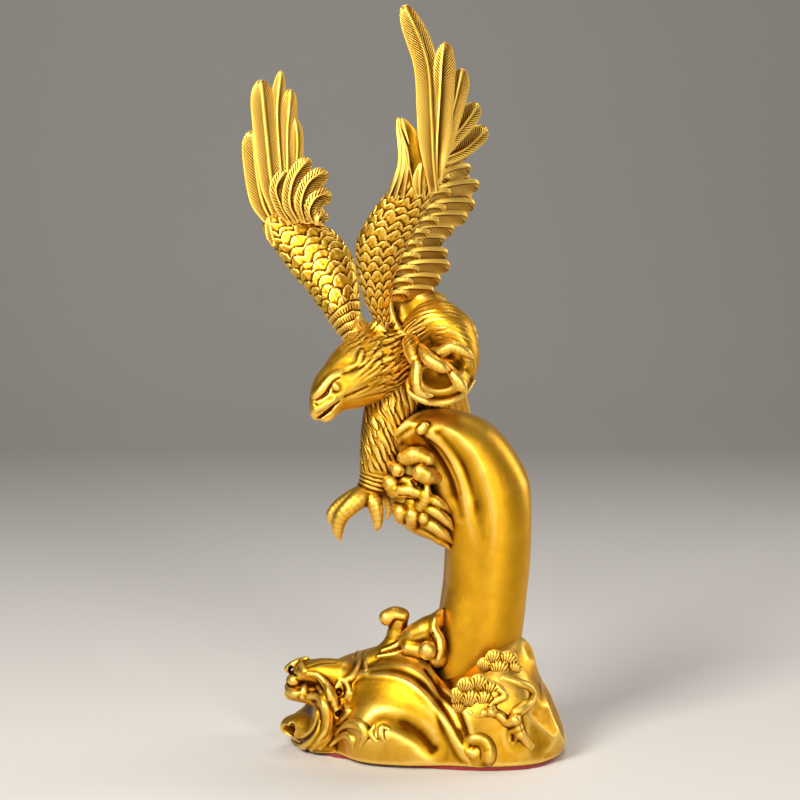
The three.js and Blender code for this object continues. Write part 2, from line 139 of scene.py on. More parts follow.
class Clay:
    """A block of voxels that holds a signed distance in millimetres."""

    def __init__(self, low, high, voxel):
        self.voxel = voxel * COARSE
        self.low = np.array(low, float)
        count = np.ceil((np.array(high) - self.low) / self.voxel).astype(int) + 1
        self.axes = [self.low[i] + self.voxel * np.arange(count[i]) for i in range(3)]
        self.d = np.full(count, FAR, np.float32)

    def pour(self, other, shrink):
        """Adds another block's clay, shrunk a little."""
        d = other.d
        for axis in range(3):
            place = (self.axes[axis] - other.axes[axis][0]) / other.voxel
            place = np.clip(place, 0, len(other.axes[axis]) - 1.001)
            low = place.astype(int)
            part = (place - low).astype(np.float32).reshape([-1 if k == axis else 1 for k in range(3)])
            d = np.take(d, low, axis) * (1 - part) + np.take(d, low + 1, axis) * part
        self.d = np.minimum(self.d, d + shrink)

    def window(self, low, high):
        """The part of the block between two corners, and the coordinates of its voxels."""
        cut = tuple(slice(int(np.searchsorted(a, lo)), int(np.searchsorted(a, hi)))
                    for a, lo, hi in zip(self.axes, low, high))
        if any(c.start >= c.stop for c in cut):
            return None, None
        grid = [a[c].astype(np.float32) for a, c in zip(self.axes, cut)]
        return cut, (grid[0][:, None, None], grid[1][None, :, None], grid[2][None, None, :])

    def add(self, shape, blend=0.0):
        """Joins a shape on, with a fillet."""
        cut, d = shape(self)
        if cut is not None:
            self.d[cut] = meet(self.d[cut], d, blend)

    def cut(self, shape, blend):
        """Takes a shape away, with its edges rounded over."""
        cut, d = shape(self)
        if cut is not None:
            self.d[cut] = -meet(-self.d[cut], d, blend)

    def keep(self, shape):
        """Keeps only what is inside shape."""
        whole = np.full(self.d.shape, FAR, np.float32)
        cut, d = shape(self)
        if cut is not None:
            whole[cut] = d
        self.d = np.maximum(self.d, whole)

    def sample(self, points):
        """Distances at points, by linear interpolation."""
        q = (np.asarray(points) - self.low) / self.voxel
        q = np.clip(q, 0, np.array(self.d.shape) - 1.001)
        i = q.astype(int)
        total = 0
        for dx, dy, dz, share in cell_corners(q - i):
            total = total + share * self.d[i[..., 0] + dx, i[..., 1] + dy, i[..., 2] + dz]
        return total

    def first_met(self, line, lift):
        """Where a row of points first comes within lift of the clay."""
        d = self.sample(line) - lift
        inside = np.nonzero(d < 0)[0]
        if len(inside) == 0:
            return line[int(np.argmin(d))]
        k = max(inside[0], 1)
        part = d[k - 1] / (d[k - 1] - d[k] + 1e-9)
        return line[k - 1] + (line[k] - line[k - 1]) * np.clip(part, 0, 1)

    def front(self, places, lift):
        """Points on the clay's front, lifted off it, on the camera's sight lines through (x, 0, z)."""
        depth = np.arange(self.axes[1][0], self.axes[1][-1], 0.3)
        met = []
        for x, z in places:
            way = np.array([x, 0, z]) - EYE
            met.append(self.first_met(EYE + way * ((depth - EYE[1]) / way[1])[:, None], lift))
        return np.array(met)

    def spot(self, x, z, lift=0.0):
        """One point on the clay's front."""
        return self.front([(x, z)], lift)[0]

    def back(self, places, lift=0.0):
        """Points on the clay's back, lifted off it, seen straight on from behind."""
        depth = np.arange(self.axes[1][-1], self.axes[1][0], -0.3)
        met = []
        for x, z in places:
            met.append(self.first_met(np.column_stack([0 * depth + x, depth, 0 * depth + z]), lift))
        return np.array(met)

    def mesh(self, rounds):
        """Vertices and quads of the clay's surface, a little smoothed."""
        grid = openvdb.FloatGrid(background=FAR)
        grid.copyFromArray(np.pad(self.d, 1, constant_values=FAR))
        grid.transform = openvdb.createLinearTransform(voxelSize=self.voxel)
        points, quads = grid.convertToQuads(isovalue=0)
        points = points.astype(float) + self.low - self.voxel
        quads = quads.astype(np.int64)
        return relax(points, quads, rounds), quads


def sight(x, z, depth):
    """The point at y = depth on the sight line through (x, 0, z)."""
    way = np.array([x, 0, z]) - EYE
    return EYE + way * ((depth - EYE[1]) / way[1])


def sights(*places):
    """The points on the sight lines through several (x, z, depth) places."""
    return [sight(*place) for place in places]


def sides_of(faces, corners):
    """The edges of faces, as pairs of vertex numbers."""
    return np.vstack([faces[:, [i, (i + 1) % corners]] for i in range(corners)])


def neighbour_sums(points, ends):
    """The sum of each vertex's neighbours."""
    total = np.zeros_like(points)
    for axis in range(3):
        total[:, axis] = (np.bincount(ends[:, 0], points[ends[:, 1], axis], len(points))
                          + np.bincount(ends[:, 1], points[ends[:, 0], axis], len(points)))
    return total


def relax(points, quads, rounds):
    """Smooths a surface without shrinking it much."""
    ends = sides_of(quads, 4)
    count = np.bincount(ends.ravel(), minlength=len(points)).astype(float)[:, None]
    for i in range(rounds):
        step = neighbour_sums(points, ends) / np.maximum(count, 1) - points
        points = points + step * (SHRINK if i % 2 == 0 else -SWELL)
    return points


def normals_of(points, quads):
    """The outward direction at each vertex."""
    a, b, c, d = (points[quads[:, i]] for i in range(4))
    face = np.cross(c - a, d - b)
    total = np.zeros_like(points)
    for corner in range(4):
        for axis in range(3):
            total[:, axis] += np.bincount(quads[:, corner], face[:, axis], len(points))
    return unit(total)


def oval_distance(x, y, z, rx, ry, rz):
    """About the distance to an ellipsoid, and how far out each place is as a share of the radius."""
    share = np.sqrt((x / rx) ** 2 + (y / ry) ** 2 + (z / rz) ** 2)
    slope = np.sqrt((x / rx ** 2) ** 2 + (y / ry ** 2) ** 2 + (z / rz ** 2) ** 2)
    return share * (share - 1) / np.maximum(slope, 1e-6), share


def dot(grid, axis):
    """Each voxel's coordinate along axis."""
    x, y, z = grid
    return x * np.float32(axis[0]) + y * np.float32(axis[1]) + z * np.float32(axis[2])


def oval(centre, radii, turn=None):
    """An ellipsoid; turn is (axis, degrees)."""
    centre = np.array(centre, float)
    radii = np.array(radii, float)
    reach = float(radii.max())
    matrix = rotation(*turn) if turn else None

    def shape(clay):
        size = radii if matrix is None else np.array([reach] * 3)
        cut, xyz = clay.window(centre - size - FAR, centre + size + FAR)
        if cut is None:
            return None, None
        grid = [g - c for g, c in zip(xyz, centre.astype(np.float32))]
        if matrix is not None:
            grid = [dot(grid, axis) for axis in matrix.T]
        d, _ = oval_distance(*grid, *radii.astype(np.float32))
        return cut, d
    return shape


def rotation(axis, degrees):
    """The matrix that turns by degrees about axis."""
    x, y, z = unit(axis)
    c, s = math.cos(math.radians(degrees)), math.sin(math.radians(degrees))
    k = np.array([[0, -z, y], [z, 0, -x], [-y, x, 0]])
    return np.eye(3) + s * k + (1 - c) * k @ k


def slab(low, high, round_off=0.0):
    """A box with its edges rounded."""
    low, high = np.array(low, float), np.array(high, float)
    middle, half = (low + high) / 2, (high - low) / 2 - round_off

    def shape(clay):
        cut, xyz = clay.window(low - FAR, high + FAR)
        if cut is None:
            return None, None
        q = [np.abs(g - c) - h for g, c, h in zip(xyz, middle.astype(np.float32), half.astype(np.float32))]
        out = np.sqrt(np.maximum(q[0], 0) ** 2 + np.maximum(q[1], 0) ** 2 + np.maximum(q[2], 0) ** 2)
        return cut, out + np.minimum(np.maximum(np.maximum(q[0], q[1]), q[2]), 0) - round_off
    return shape


def sweep(points, sizes, facing=(0, -1, 0), steps=None):
    """An oval section carried along a smooth curve. sizes holds [half width, half thickness] pairs."""
    sizes = np.atleast_2d(np.array([s if np.ndim(s) else (s, s) for s in sizes], float))
    if len(sizes) == 1:
        sizes = np.repeat(sizes, 2, axis=0)
    length = np.linalg.norm(np.diff(np.asarray(points, float), axis=0), axis=1).sum()
    count = steps or int(np.clip(length / 1.1, 8, 90))
    line = smooth_curve(points, count)
    size = spread(sizes, count)
    facing = unit(facing)

    def shape(clay):
        reach = size.max() + FAR
        cut, _ = clay.window(line.min(0) - reach, line.max(0) + reach)
        if cut is None:
            return None, None
        whole = np.full(clay.d[cut].shape, FAR, np.float32)
        start = [c.start for c in cut]
        for a, b, sa, sb in zip(line[:-1], line[1:], size[:-1], size[1:]):
            far = max(sa.max(), sb.max()) + FAR
            part, grid = clay.window(np.minimum(a, b) - far, np.maximum(a, b) + far)
            if part is None:
                continue
            way = b - a
            step = float(np.linalg.norm(way))
            along = way / (step + 1e-9)
            across = unit(np.cross(along, facing))
            out = np.cross(across, along)
            grid = [g - np.float32(c) for g, c in zip(grid, a)]
            u, v, w = (dot(grid, axis) for axis in (across, out, along))
            t = np.clip(w / (step + 1e-9), 0, 1)
            wide = (sa[0] + (sb[0] - sa[0]) * t).astype(np.float32)
            thick = (sa[1] + (sb[1] - sa[1]) * t).astype(np.float32)
            least = np.minimum(wide, thick)
            d, share = oval_distance(u, v, w - t * step, wide, thick, least)
            d = np.where(share < 0.02, -least, d)
            local = tuple(slice(p.start - s, p.stop - s) for p, s in zip(part, start))
            whole[local] = np.minimum(whole[local], d)
        return cut, whole
    return shape


def strand(clay, places, size, blend):
    """Adds a strand through (x, z, depth) places."""
    clay.add(sweep(sights(*places), size), blend)


def hook(clay, places, size, lift, blend):
    """Lays a raised strand on the clay's front."""
    clay.add(sweep(clay.front(places, lift), size), blend)


def groove(clay, places, size, lift, blend):
    """Cuts a groove into the clay's front."""
    clay.cut(sweep(clay.front(places, lift), size), blend)


def noise3(points, size, seed):
    """Smooth value noise from -1 to 1 with cells of the given size."""
    q = np.asarray(points, float) / size + 1000.0
    i = np.floor(q).astype(np.int64)
    f = q - i
    total = 0
    for dx, dy, dz, share in cell_corners(f * f * (3 - 2 * f)):
        # a hash of the corner's place gives it a fixed height
        n = (i[..., 0] + dx) * 374761393 + (i[..., 1] + dy) * 668265263
        n = n + (i[..., 2] + dz) * 2147483647 + seed * 97
        n = (n ^ (n >> 13)) * 1274126177
        height = ((n ^ (n >> 16)) & 65535) / 32767.5 - 1
        total = total + share * height
    return total


# ---- pieces ----------------------------------------------------------------------------------

MATERIAL = {}


def make_piece(name, points, faces, slot, *nodes):
    """A mesh object. Faces are rows of four vertex numbers; a triangle's fourth is -1."""
    points = np.asarray(points, np.float64)
    faces = np.asarray(faces, np.int64)
    corner = points[faces[:, 0]]
    volume = np.einsum("ij,ij->i", corner, np.cross(points[faces[:, 1]], points[faces[:, 2]])).sum()
    four = faces[faces[:, 3] >= 0]
    second = np.cross(points[four[:, 2]], points[four[:, 3]])
    volume += np.einsum("ij,ij->i", points[four[:, 0]], second).sum()
    if volume < 0:
        flipped = faces[:, ::-1].copy()
        three = flipped[:, 0] < 0
        flipped[three] = np.roll(flipped[three], -1, axis=1)
        faces = flipped
    used = faces.ravel() >= 0
    count = (faces >= 0).sum(1)
    mesh = bpy.data.meshes.new(name)
    mesh.vertices.add(len(points))
    mesh.vertices.foreach_set("co", (points * MM).astype(np.float32).ravel())
    mesh.loops.add(int(used.sum()))
    mesh.loops.foreach_set("vertex_index", faces.ravel()[used].astype(np.int32))
    mesh.polygons.add(len(faces))
    mesh.polygons.foreach_set("loop_start", (np.cumsum(count) - count).astype(np.int32))
    mesh.update(calc_edges=True)
    # the hollow attribute sets where the bronze gets its patina and painted shade, and where its wear and
    # painted highlight lie
    depths = mesh.attributes.new("hollow", "FLOAT", "POINT")
    depths.data.foreach_set("value", hollows(points, faces).astype(np.float32))
    mesh.validate()
    mesh.shade_smooth()
    piece = bpy.data.objects.new(name, mesh)
    bpy.context.scene.collection.objects.link(piece)
    mesh.materials.append(MATERIAL[slot])
    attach(piece, "root")
    if nodes:
        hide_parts(*nodes)
    return piece


def hollows(points, faces):
    """How far each vertex lies in a hollow. The fine creases count more than the broad ones."""
    three = faces[:, 3] < 0
    ends = np.vstack([sides_of(faces[~three], 4), sides_of(faces[three], 3)])
    count = np.maximum(np.bincount(ends.ravel(), minlength=len(points)), 1)
    full = np.where(faces < 0, faces[:, [0]], faces)
    normal = normals_of(points, full)
    smooth = points.copy()
    found = np.zeros(len(points))
    fine_round, broad_round = 5, 25
    weight = {fine_round: 2.2, broad_round: 0.22}
    for i in range(broad_round + 1):
        smooth = smooth + 0.8 * (neighbour_sums(smooth, ends) / count[:, None] - smooth)
        if i in weight:
            found = found + np.einsum("ij,ij->i", smooth - points, normal) * weight[i]
    return found


def weld(points, faces):
    """Joins vertices that fall together and drops the faces that vanish."""
    decimals = 3
    keys, first, back = np.unique(np.round(points, decimals), axis=0, return_index=True, return_inverse=True)
    back = back.ravel()
    faces = back[faces]
    same = [faces[:, i] == faces[:, (i + 1) % 4] for i in range(4)]
    drop = np.sum(same, axis=0)
    whole = faces[drop == 0]
    whole = whole[(whole[:, 0] != whole[:, 2]) & (whole[:, 1] != whole[:, 3])]
    corners = []
    for i in range(4):
        pick = (drop == 1) & same[i]
        row = faces[pick]
        rest = [j for j in range(4) if j != i]
        corners.append(np.column_stack([row[:, rest], np.full(len(row), -1)]))
    faces = np.vstack([whole] + corners)
    solid = (faces[:, 0] != faces[:, 1]) & (faces[:, 1] != faces[:, 2]) & (faces[:, 0] != faces[:, 2])
    faces = faces[solid]
    used = np.unique(faces[faces >= 0])
    number = np.full(len(keys) + 1, -1)
    number[used] = np.arange(len(used))
    return points[first][used], number[faces]


def joined(parts):
    """Several (points, faces) meshes as one."""
    points, faces, start = [], [], 0
    for p, f in parts:
        points.append(p)
        faces.append(np.where(f >= 0, f + start, -1))
        start += len(p)
    return np.vstack(points), np.vstack(faces)


# ---- feathers --------------------------------------------------------------------------------


def smooth_step(x):
    """An S-shaped rise from 0 to 1."""
    x = np.clip(x, 0, 1)
    return x * x * (3 - 2 * x)


def by_length(points, count=80):
    """A curve's points, directions and length, sampled evenly."""
    line = smooth_curve(points, count * 3)
    travelled = np.concatenate([[0], np.cumsum(np.linalg.norm(np.diff(line, axis=0), axis=1))])
    want = np.linspace(0, travelled[-1], count)
    line = np.stack([np.interp(want, travelled, line[:, i]) for i in range(3)], axis=1)
    return line, unit(np.gradient(line, axis=0)), travelled[-1]


def blade(curve, wide, thick, facing, roll, rachis, blunt, camber=0.18, barb=1.55, deep=0.5, ridge=0.55):
    """A closed feather: a ridge along its length and grooves that slant from the ridge towards the tip.

    wide is half its width. rachis is the ridge's place across it, from -1 to 1.
    roll turns it about its length, in degrees.
    """
    root_width, slant = 0.45, 1.2
    barb = barb * COARSE
    line, way, length = by_length(curve)
    side = unit(np.cross(way, unit(facing)))
    face = np.cross(side, way)
    turn = math.radians(roll)
    side, face = (side * math.cos(turn) + face * math.sin(turn),
                  face * math.cos(turn) - side * math.sin(turn))
    reach = slant * wide * (1 + abs(rachis))
    step = barb / 4
    start = -int(math.ceil(reach / step))
    row = np.arange(start, int(math.ceil(length / step)) + 1)
    even = [-1, -0.93, -0.8, -0.6, -0.35, 0.35, 0.6, 0.8, 0.93, 1]
    by_ridge = rachis + np.array([-0.2, -0.09, 0, 0.09, 0.2])
    front_q = np.unique(np.round(np.concatenate([even, by_ridge]).clip(-1, 1), 4))
    back_q = np.array([0.75, 0.4, 0.12, 0, -0.12, -0.4, -0.75])

    def place(q, front):
        s = np.clip(row[:, None] * step + slant * wide * np.abs(q[None, :] - rachis), 0, length)
        t = s / length
        profile = (root_width + (1 - root_width) * smooth_step(t / 0.35))
        end = np.clip((t - blunt) / (1 - blunt), 0, 1)
        profile = profile * np.sqrt(np.clip(1 - end ** 2.2, 0, 1))
        body = (1 - 0.45 * t) * np.sqrt(np.clip(1 - np.clip((t - 0.9) / 0.1, 0, 1) ** 2, 0, 1))
        width = wide * profile
        i = t * (len(line) - 1)
        lo = np.minimum(i.astype(int), len(line) - 2)
        f = (i - lo)[..., None]
        at = line[lo] * (1 - f) + line[lo + 1] * f
        u = side[lo] * (1 - f) + side[lo + 1] * f
        n = face[lo] * (1 - f) + face[lo + 1] * f
        edge = np.sqrt(np.clip(1 - np.abs(q) ** 4, 0, 1))[None, :]
        high = thick / 2 * body * edge
        away = np.abs(q - rachis)[None, :] * width
        if front:
            high = high + ridge * body * np.exp(-(away / 0.62) ** 2) * edge
            phase = np.array([1.0, 0.5, 0.0, 0.5])[row % 4][:, None]
            window = smooth_step((away - 0.5) / 0.6) * (edge ** 0.5)
            high = high - deep * phase * window * smooth_step(body * 3)
        else:
            high = -high - 0.8 * ridge * body * np.exp(-(away / 0.7) ** 2) * edge
        high = high - camber * width * (q[None, :] ** 2)
        return at + u * (q[None, :] * width)[..., None] + n * high[..., None]

    points = np.concatenate([place(front_q, True), place(back_q, False)], axis=1)
    rows, columns = points.shape[:2]
    index = np.arange(rows * columns).reshape(rows, columns)
    # the root is closed, and the tip comes to a point by itself
    ring, n = index[0], len(front_q)
    top, low = ring[:n], np.concatenate([[ring[0]], ring[n:][::-1], [ring[n - 1]]])
    low = low[np.round(np.linspace(0, len(low) - 1, n)).astype(int)]
    root = np.stack([top[:-1], low[:-1], low[1:], top[1:]], axis=1)
    return weld(points.reshape(-1, 3), np.vstack([skin(index), root]))


def tiles(along, around, pitch, count, bulge, seed, ragged):
    """Heights from 0 to 1 of overlapping rounded scales. Their free edges face up the first coordinate.

    around runs from 0 to 1 round the limb, and count scales go round.
    """
    best = np.full(np.shape(along), -1.0)
    first = np.floor(along / pitch).astype(int) - 2
    cross = np.zeros(np.shape(along))
    chance = np.zeros(np.shape(along))
    for k in range(4):
        row = first + k
        cell = around * count + 0.5 * (row % 2) + 0.2 * np.sin(row * 2.3 + seed)
        which = np.floor(cell)
        x = 2 * (cell - which) - 1
        n = (row * 7919 + np.mod(which, count).astype(int) * 104729 + seed * 31) & 0xFFFF
        n = ((n ^ (n >> 7)) * 40503) & 0xFFFF
        luck = n / 65535.0  # each scale's own chance, from a hash of its place
        edge = (row + 1) * pitch + bulge * (1 - x * x) + ragged * pitch * (luck - 0.5)
        take = (best < 0) & (along < edge)
        depth = np.clip((edge - along) / (pitch + bulge), 0, 1)
        best = np.where(take, 1 - depth, best)
        cross = np.where(take, x, cross)
        chance = np.where(take, luck, chance)
    return np.clip(best, 0, 1), cross, chance


def skin(index):
    """Quads between neighbouring closed rings of vertices. index holds one ring to a row."""
    after = np.roll(index, -1, axis=1)
    return np.stack([index[:-1], after[:-1], after[1:], index[1:]], axis=-1).reshape(-1, 4)


def ring_mesh(centres, halves, depths, around):
    """A closed skin through oval rings; the first and last rings close to points."""
    angle = np.linspace(0, 2 * math.pi, around, endpoint=False)
    points = (centres[:, None] + halves[:, None] * np.cos(angle)[None, :, None]
              + depths[:, None] * np.sin(angle)[None, :, None])
    rows = len(centres)
    return points, skin(np.arange(rows * around).reshape(rows, around))


def scaled_arm(lead, rear, thick, pitch, count, bulge, lift, seed, toothed=None):
    """A limb between two edge curves, covered with overlapping scales."""
    grain = 0.42 * COARSE
    lead_line, rear_line = (smooth_curve(edge, 400) for edge in (lead, rear))
    middle = (lead_line + rear_line) / 2
    travelled = np.concatenate([[0], np.cumsum(np.linalg.norm(np.diff(middle, axis=0), axis=1))])
    rows = int(travelled[-1] / grain)
    want = np.linspace(0, travelled[-1], rows)

    def at(line):
        return np.stack([np.interp(want, travelled, line[:, i]) for i in range(3)], axis=1)

    first, last = at(lead_line), at(rear_line)
    centre, half = (first + last) / 2, (last - first) / 2
    girth = np.interp(want / want[-1], np.linspace(0, 1, len(thick)), thick)
    way = unit(np.gradient(centre, axis=0))
    out = unit(np.cross(half, way))
    if out[:, 1].mean() > 0:
        out = -out
    # both ends close to a round point
    t = want / want[-1]
    close = np.sqrt(np.clip(1 - np.clip((t - 0.93) / 0.07, 0, 1) ** 2, 0, 1))
    close = close * np.sqrt(np.clip(1 - np.clip((0.04 - t) / 0.04, 0, 1) ** 2, 0, 1))
    usual_radius = 10.5
    around = int(2 * math.pi * usual_radius / grain)
    points, quads = ring_mesh(centre, half * close[:, None], out * (girth * close)[:, None], around)
    flat = points.reshape(-1, 3)
    normal = normals_of(flat, quads).reshape(points.shape)
    if np.einsum("ijk,ijk->ij", normal, points - centre[:, None]).mean() < 0:
        normal = -normal
    angle = np.linspace(0, 1, around, endpoint=False)[None, :] + 0 * want[:, None]
    travel = want[:, None] + 0 * angle + 0.9 * noise3(points, 7, seed)
    high, cross, luck = tiles(travel, angle, pitch, count, bulge, seed, ragged=0.5)
    relief = lift * (high ** 0.8 - 0.35) - 0.22 * lift * cross ** 2 + 0.25 * lift * (luck - 0.5)
    relief = relief + 0.10 * noise3(points, 1.3, seed + 3)
    relief = relief + 0.16 * np.exp(-(cross / 0.16) ** 2) * high * lift
    if toothed is not None:
        # banded rows with small teeth near the root
        near = 1 - smooth_step((want - toothed) / 6)[:, None]
        band = travel / 4.6
        saw = band - np.floor(band)
        teeth = 0.5 + 0.5 * np.sin(angle * 2 * math.pi * 34 + np.floor(band) * 1.7)
        rows_relief = lift * (saw ** 0.8 - 0.35) - 0.32 * teeth * np.exp(-((saw - 0.45) / 0.28) ** 2)
        relief = relief * (1 - near) + rows_relief * near
    points = points + normal * (relief * close[:, None])[..., None]
    return weld(points.reshape(-1, 3), quads)


def nearest_on(points, curve):
    """Distance travelled along a curve, angle round it and distance from it, for each point."""
    count = 90
    line, way, length = by_length(curve, count)
    up = unit(np.cross(way, (0, -1, 0)))
    out = np.cross(up, way)
    pick = np.empty(len(points), int)
    for start in range(0, len(points), 20000):
        block = points[start:start + 20000]
        pick[start:start + 20000] = ((block[:, None] - line[None]) ** 2).sum(-1).argmin(1)
    off = points - line[pick]
    along = pick / (count - 1) * length + np.einsum("ij,ij->i", off, way[pick])
    across = np.einsum("ij,ij->i", off, up[pick])
    front = np.einsum("ij,ij->i", off, out[pick])
    return along, np.arctan2(across, front), np.hypot(across, front)


# ---- materials -------------------------------------------------------------------------------


def new_material(name):
    """A material with a plain shader."""
    material = bpy.data.materials.new(name)
    material.use_nodes = True
    tree = material.node_tree
    tree.nodes.clear()
    out = tree.nodes.new("ShaderNodeOutputMaterial")
    shader = tree.nodes.new("ShaderNodeBsdfPrincipled")
    tree.links.new(shader.outputs[0], out.inputs[0])
    return material, tree, shader


def node(tree, kind, **values):
    """A shader node with its inputs or settings filled in."""
    made = tree.nodes.new(kind)
    for key, value in values.items():
        if key in made.inputs:
            made.inputs[key].default_value = value
        else:
            setattr(made, key, value)
    return made


def ramp(tree, source, stops):
    """A colour or a grey that follows source through the stops."""
    made = tree.nodes.new("ShaderNodeValToRGB")
    elements = made.color_ramp.elements
    while len(elements) < len(stops):
        elements.new(0.5)
    for element, (place, colour) in zip(elements, stops):
        element.position = place
        element.color = (*colour, 1) if np.ndim(colour) else (colour, colour, colour, 1)
    tree.links.new(source, made.inputs[0])
    return made.outputs["Color"]


def noise_at(tree, place, scale, detail, roughness):
    """A noise texture's value at each place."""
    made = node(tree, "ShaderNodeTexNoise", Scale=scale, Detail=detail, Roughness=roughness)
    tree.links.new(place, made.inputs["Vector"])
    return made.outputs["Fac"]


def bumps(tree, height, strength, distance, under=None):
    """A normal that height tilts, on top of the normal under it."""
    made = node(tree, "ShaderNodeBump", Strength=strength, Distance=distance)
    tree.links.new(height, made.inputs["Height"])
    if under is not None:
        tree.links.new(under, made.inputs["Normal"])
    return made.outputs["Normal"]


def product(tree, one, other):
    """one times other, where other is a number or an output."""
    made = node(tree, "ShaderNodeMath", operation="MULTIPLY")
    tree.links.new(one, made.inputs[0])
    if isinstance(other, (int, float)):
        made.inputs[1].default_value = other
    else:
        tree.links.new(other, made.inputs[1])
    return made.outputs[0]


def bronze_material():
    """Golden bronze: dark brown in the hollows and where ambient occlusion finds shade, as patina and
    painted shade; paler on the ridges, as wear and painted highlight.
    """
    material, tree, shader = new_material("gold_bronze")
    link = tree.links.new
    place = node(tree, "ShaderNodeTexCoord").outputs["Object"]
    shader.inputs["Metallic"].default_value = 1
    # ambient occlusion darkens the colour where shade falls: painted shade
    shade = node(tree, "ShaderNodeAmbientOcclusion", samples=6, Distance=0.006)
    ao_unshaded = ramp(tree, shade.outputs["AO"], [(0.25, 0.0), (0.92, 1.0)])
    hollow = node(tree, "ShaderNodeAttribute", attribute_name="hollow").outputs["Fac"]
    rise = ramp(tree, hollow, [(0.0, 1.0), (0.05, 0.66), (0.20, 0.0)])
    cloud = noise_at(tree, place, scale=70, detail=4, roughness=0.6)
    # the colour goes dark brown in the hollows and occluded places: partly the bronze's patina, partly
    # painted shade
    patina_and_painted_shade = node(tree, "ShaderNodeMix", data_type="RGBA")
    link(product(tree, ao_unshaded, rise), patina_and_painted_shade.inputs["Factor"])
    patina_and_painted_shade.inputs["A"].default_value = (0.11, 0.028, 0.001, 1)
    link(ramp(tree, cloud, [(0.3, (0.62, 0.30, 0.010)), (0.7, (0.73, 0.38, 0.016))]), patina_and_painted_shade.inputs["B"])
    # ridges and convex edges are painted paler: partly rubbed, worn bronze, partly a painted highlight
    wear_and_painted_highlight = ramp(tree, product(tree, hollow, -1), [(0.04, 0.0), (0.22, 1.0)])
    polish_and_painted_highlight = node(tree, "ShaderNodeMix", data_type="RGBA")
    link(wear_and_painted_highlight, polish_and_painted_highlight.inputs["Factor"])
    link(patina_and_painted_shade.outputs["Result"], polish_and_painted_highlight.inputs["A"])
    polish_and_painted_highlight.inputs["B"].default_value = (0.90, 0.60, 0.12, 1)
    link(polish_and_painted_highlight.outputs["Result"], shader.inputs["Base Color"])
    grain = noise_at(tree, place, scale=420, detail=3, roughness=0.6)
    link(ramp(tree, grain, [(0.25, 0.40), (0.75, 0.50)]), shader.inputs["Roughness"])
    swell = bumps(tree, cloud, strength=0.10, distance=0.003)
    fine = noise_at(tree, place, scale=2200, detail=2, roughness=0.5)
    link(bumps(tree, fine, strength=0.10, distance=0.0004, under=swell), shader.inputs["Normal"])
    return material


def felt_material():
    material, tree, shader = new_material("red_felt")
    link = tree.links.new
    place = node(tree, "ShaderNodeTexCoord").outputs["Object"]
    fluff = noise_at(tree, place, scale=900, detail=5, roughness=0.7)
    link(ramp(tree, fluff, [(0.3, (0.16, 0.003, 0.004)), (0.75, (0.36, 0.008, 0.010))]),
         shader.inputs["Base Color"])
    shader.inputs["Roughness"].default_value = 0.9
    shader.inputs["Sheen Weight"].default_value = 0.4
    link(bumps(tree, fluff, strength=0.5, distance=0.0004), shader.inputs["Normal"])
    return material


def metal_material(name, low, high, rough, stretch):
    """A machined metal with fine lines along one axis."""
    material, tree, shader = new_material(name)
    link = tree.links.new
    turn = node(tree, "ShaderNodeMapping")
    turn.inputs["Scale"].default_value = stretch
    link(node(tree, "ShaderNodeTexCoord").outputs["Object"], turn.inputs["Vector"])
    lines = noise_at(tree, turn.outputs["Vector"], scale=300, detail=4, roughness=0.6)
    link(ramp(tree, lines, [(0.3, low), (0.7, high)]), shader.inputs["Base Color"])
    shader.inputs["Metallic"].default_value = 1
    link(ramp(tree, lines, [(0.3, rough - 0.08), (0.7, rough + 0.08)]), shader.inputs["Roughness"])
    link(bumps(tree, lines, strength=0.15, distance=0.0002), shader.inputs["Normal"])
    return material


MATERIAL["bronze"] = bronze_material()
MATERIAL["felt"] = felt_material()
MATERIAL["plate"] = metal_material("brass_sheet", (0.42, 0.28, 0.08), (0.6, 0.42, 0.14), 0.36, (1, 12, 1))
MATERIAL["steel"] = metal_material("plated_steel", (0.42, 0.43, 0.45), (0.62, 0.63, 0.66), 0.34, (1, 1, 8))

# ---- base ------------------------------------------------------------------------------------

# the edge of the base on the table: x and y
FOOTPRINT = [(-71, 24), (-66, -3), (-36, -28), (4, -42), (34, -45), (55, -37),
             (68, -6), (66, 20), (40, 40), (0, 46), (-40, 44), (-62, 38)]
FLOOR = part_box("base_casting")[0][2] / MM


def outline(inset, count):
    """The footprint's edge at count even angles, moved in by inset."""
    closed = FOOTPRINT[-2:] + FOOTPRINT + FOOTPRINT[:3]
    line = smooth_curve([(x, y, 0) for x, y in closed], count * 2)
    angle = np.unwrap(np.arctan2(line[:, 1], line[:, 0]))
    want = np.linspace(0, 2 * math.pi, count, endpoint=False)
    order = np.argsort(np.mod(angle, 2 * math.pi))
    radius = np.interp(want, np.mod(angle, 2 * math.pi)[order], np.hypot(line[:, 0], line[:, 1])[order],
                       period=2 * math.pi)
    return np.stack([np.cos(want) * (radius - inset), np.sin(want) * (radius - inset)], axis=1)


# the skyline of the base: x and height
HEIGHT = [(-76, 30), (-66, 38), (-58, 43), (-46, 46), (-34, 48), (-22, 50.5), (-9, 51.5), (0, 46.5), (6, 39),
          (14, 42.5),
          (25, 52), (34, 58.5), (40, 60), (47, 58), (53, 50), (60, 38), (67, 27), (76, 20)]


SQUARENESS = 3.2  # a mound between a dome (2) and a block


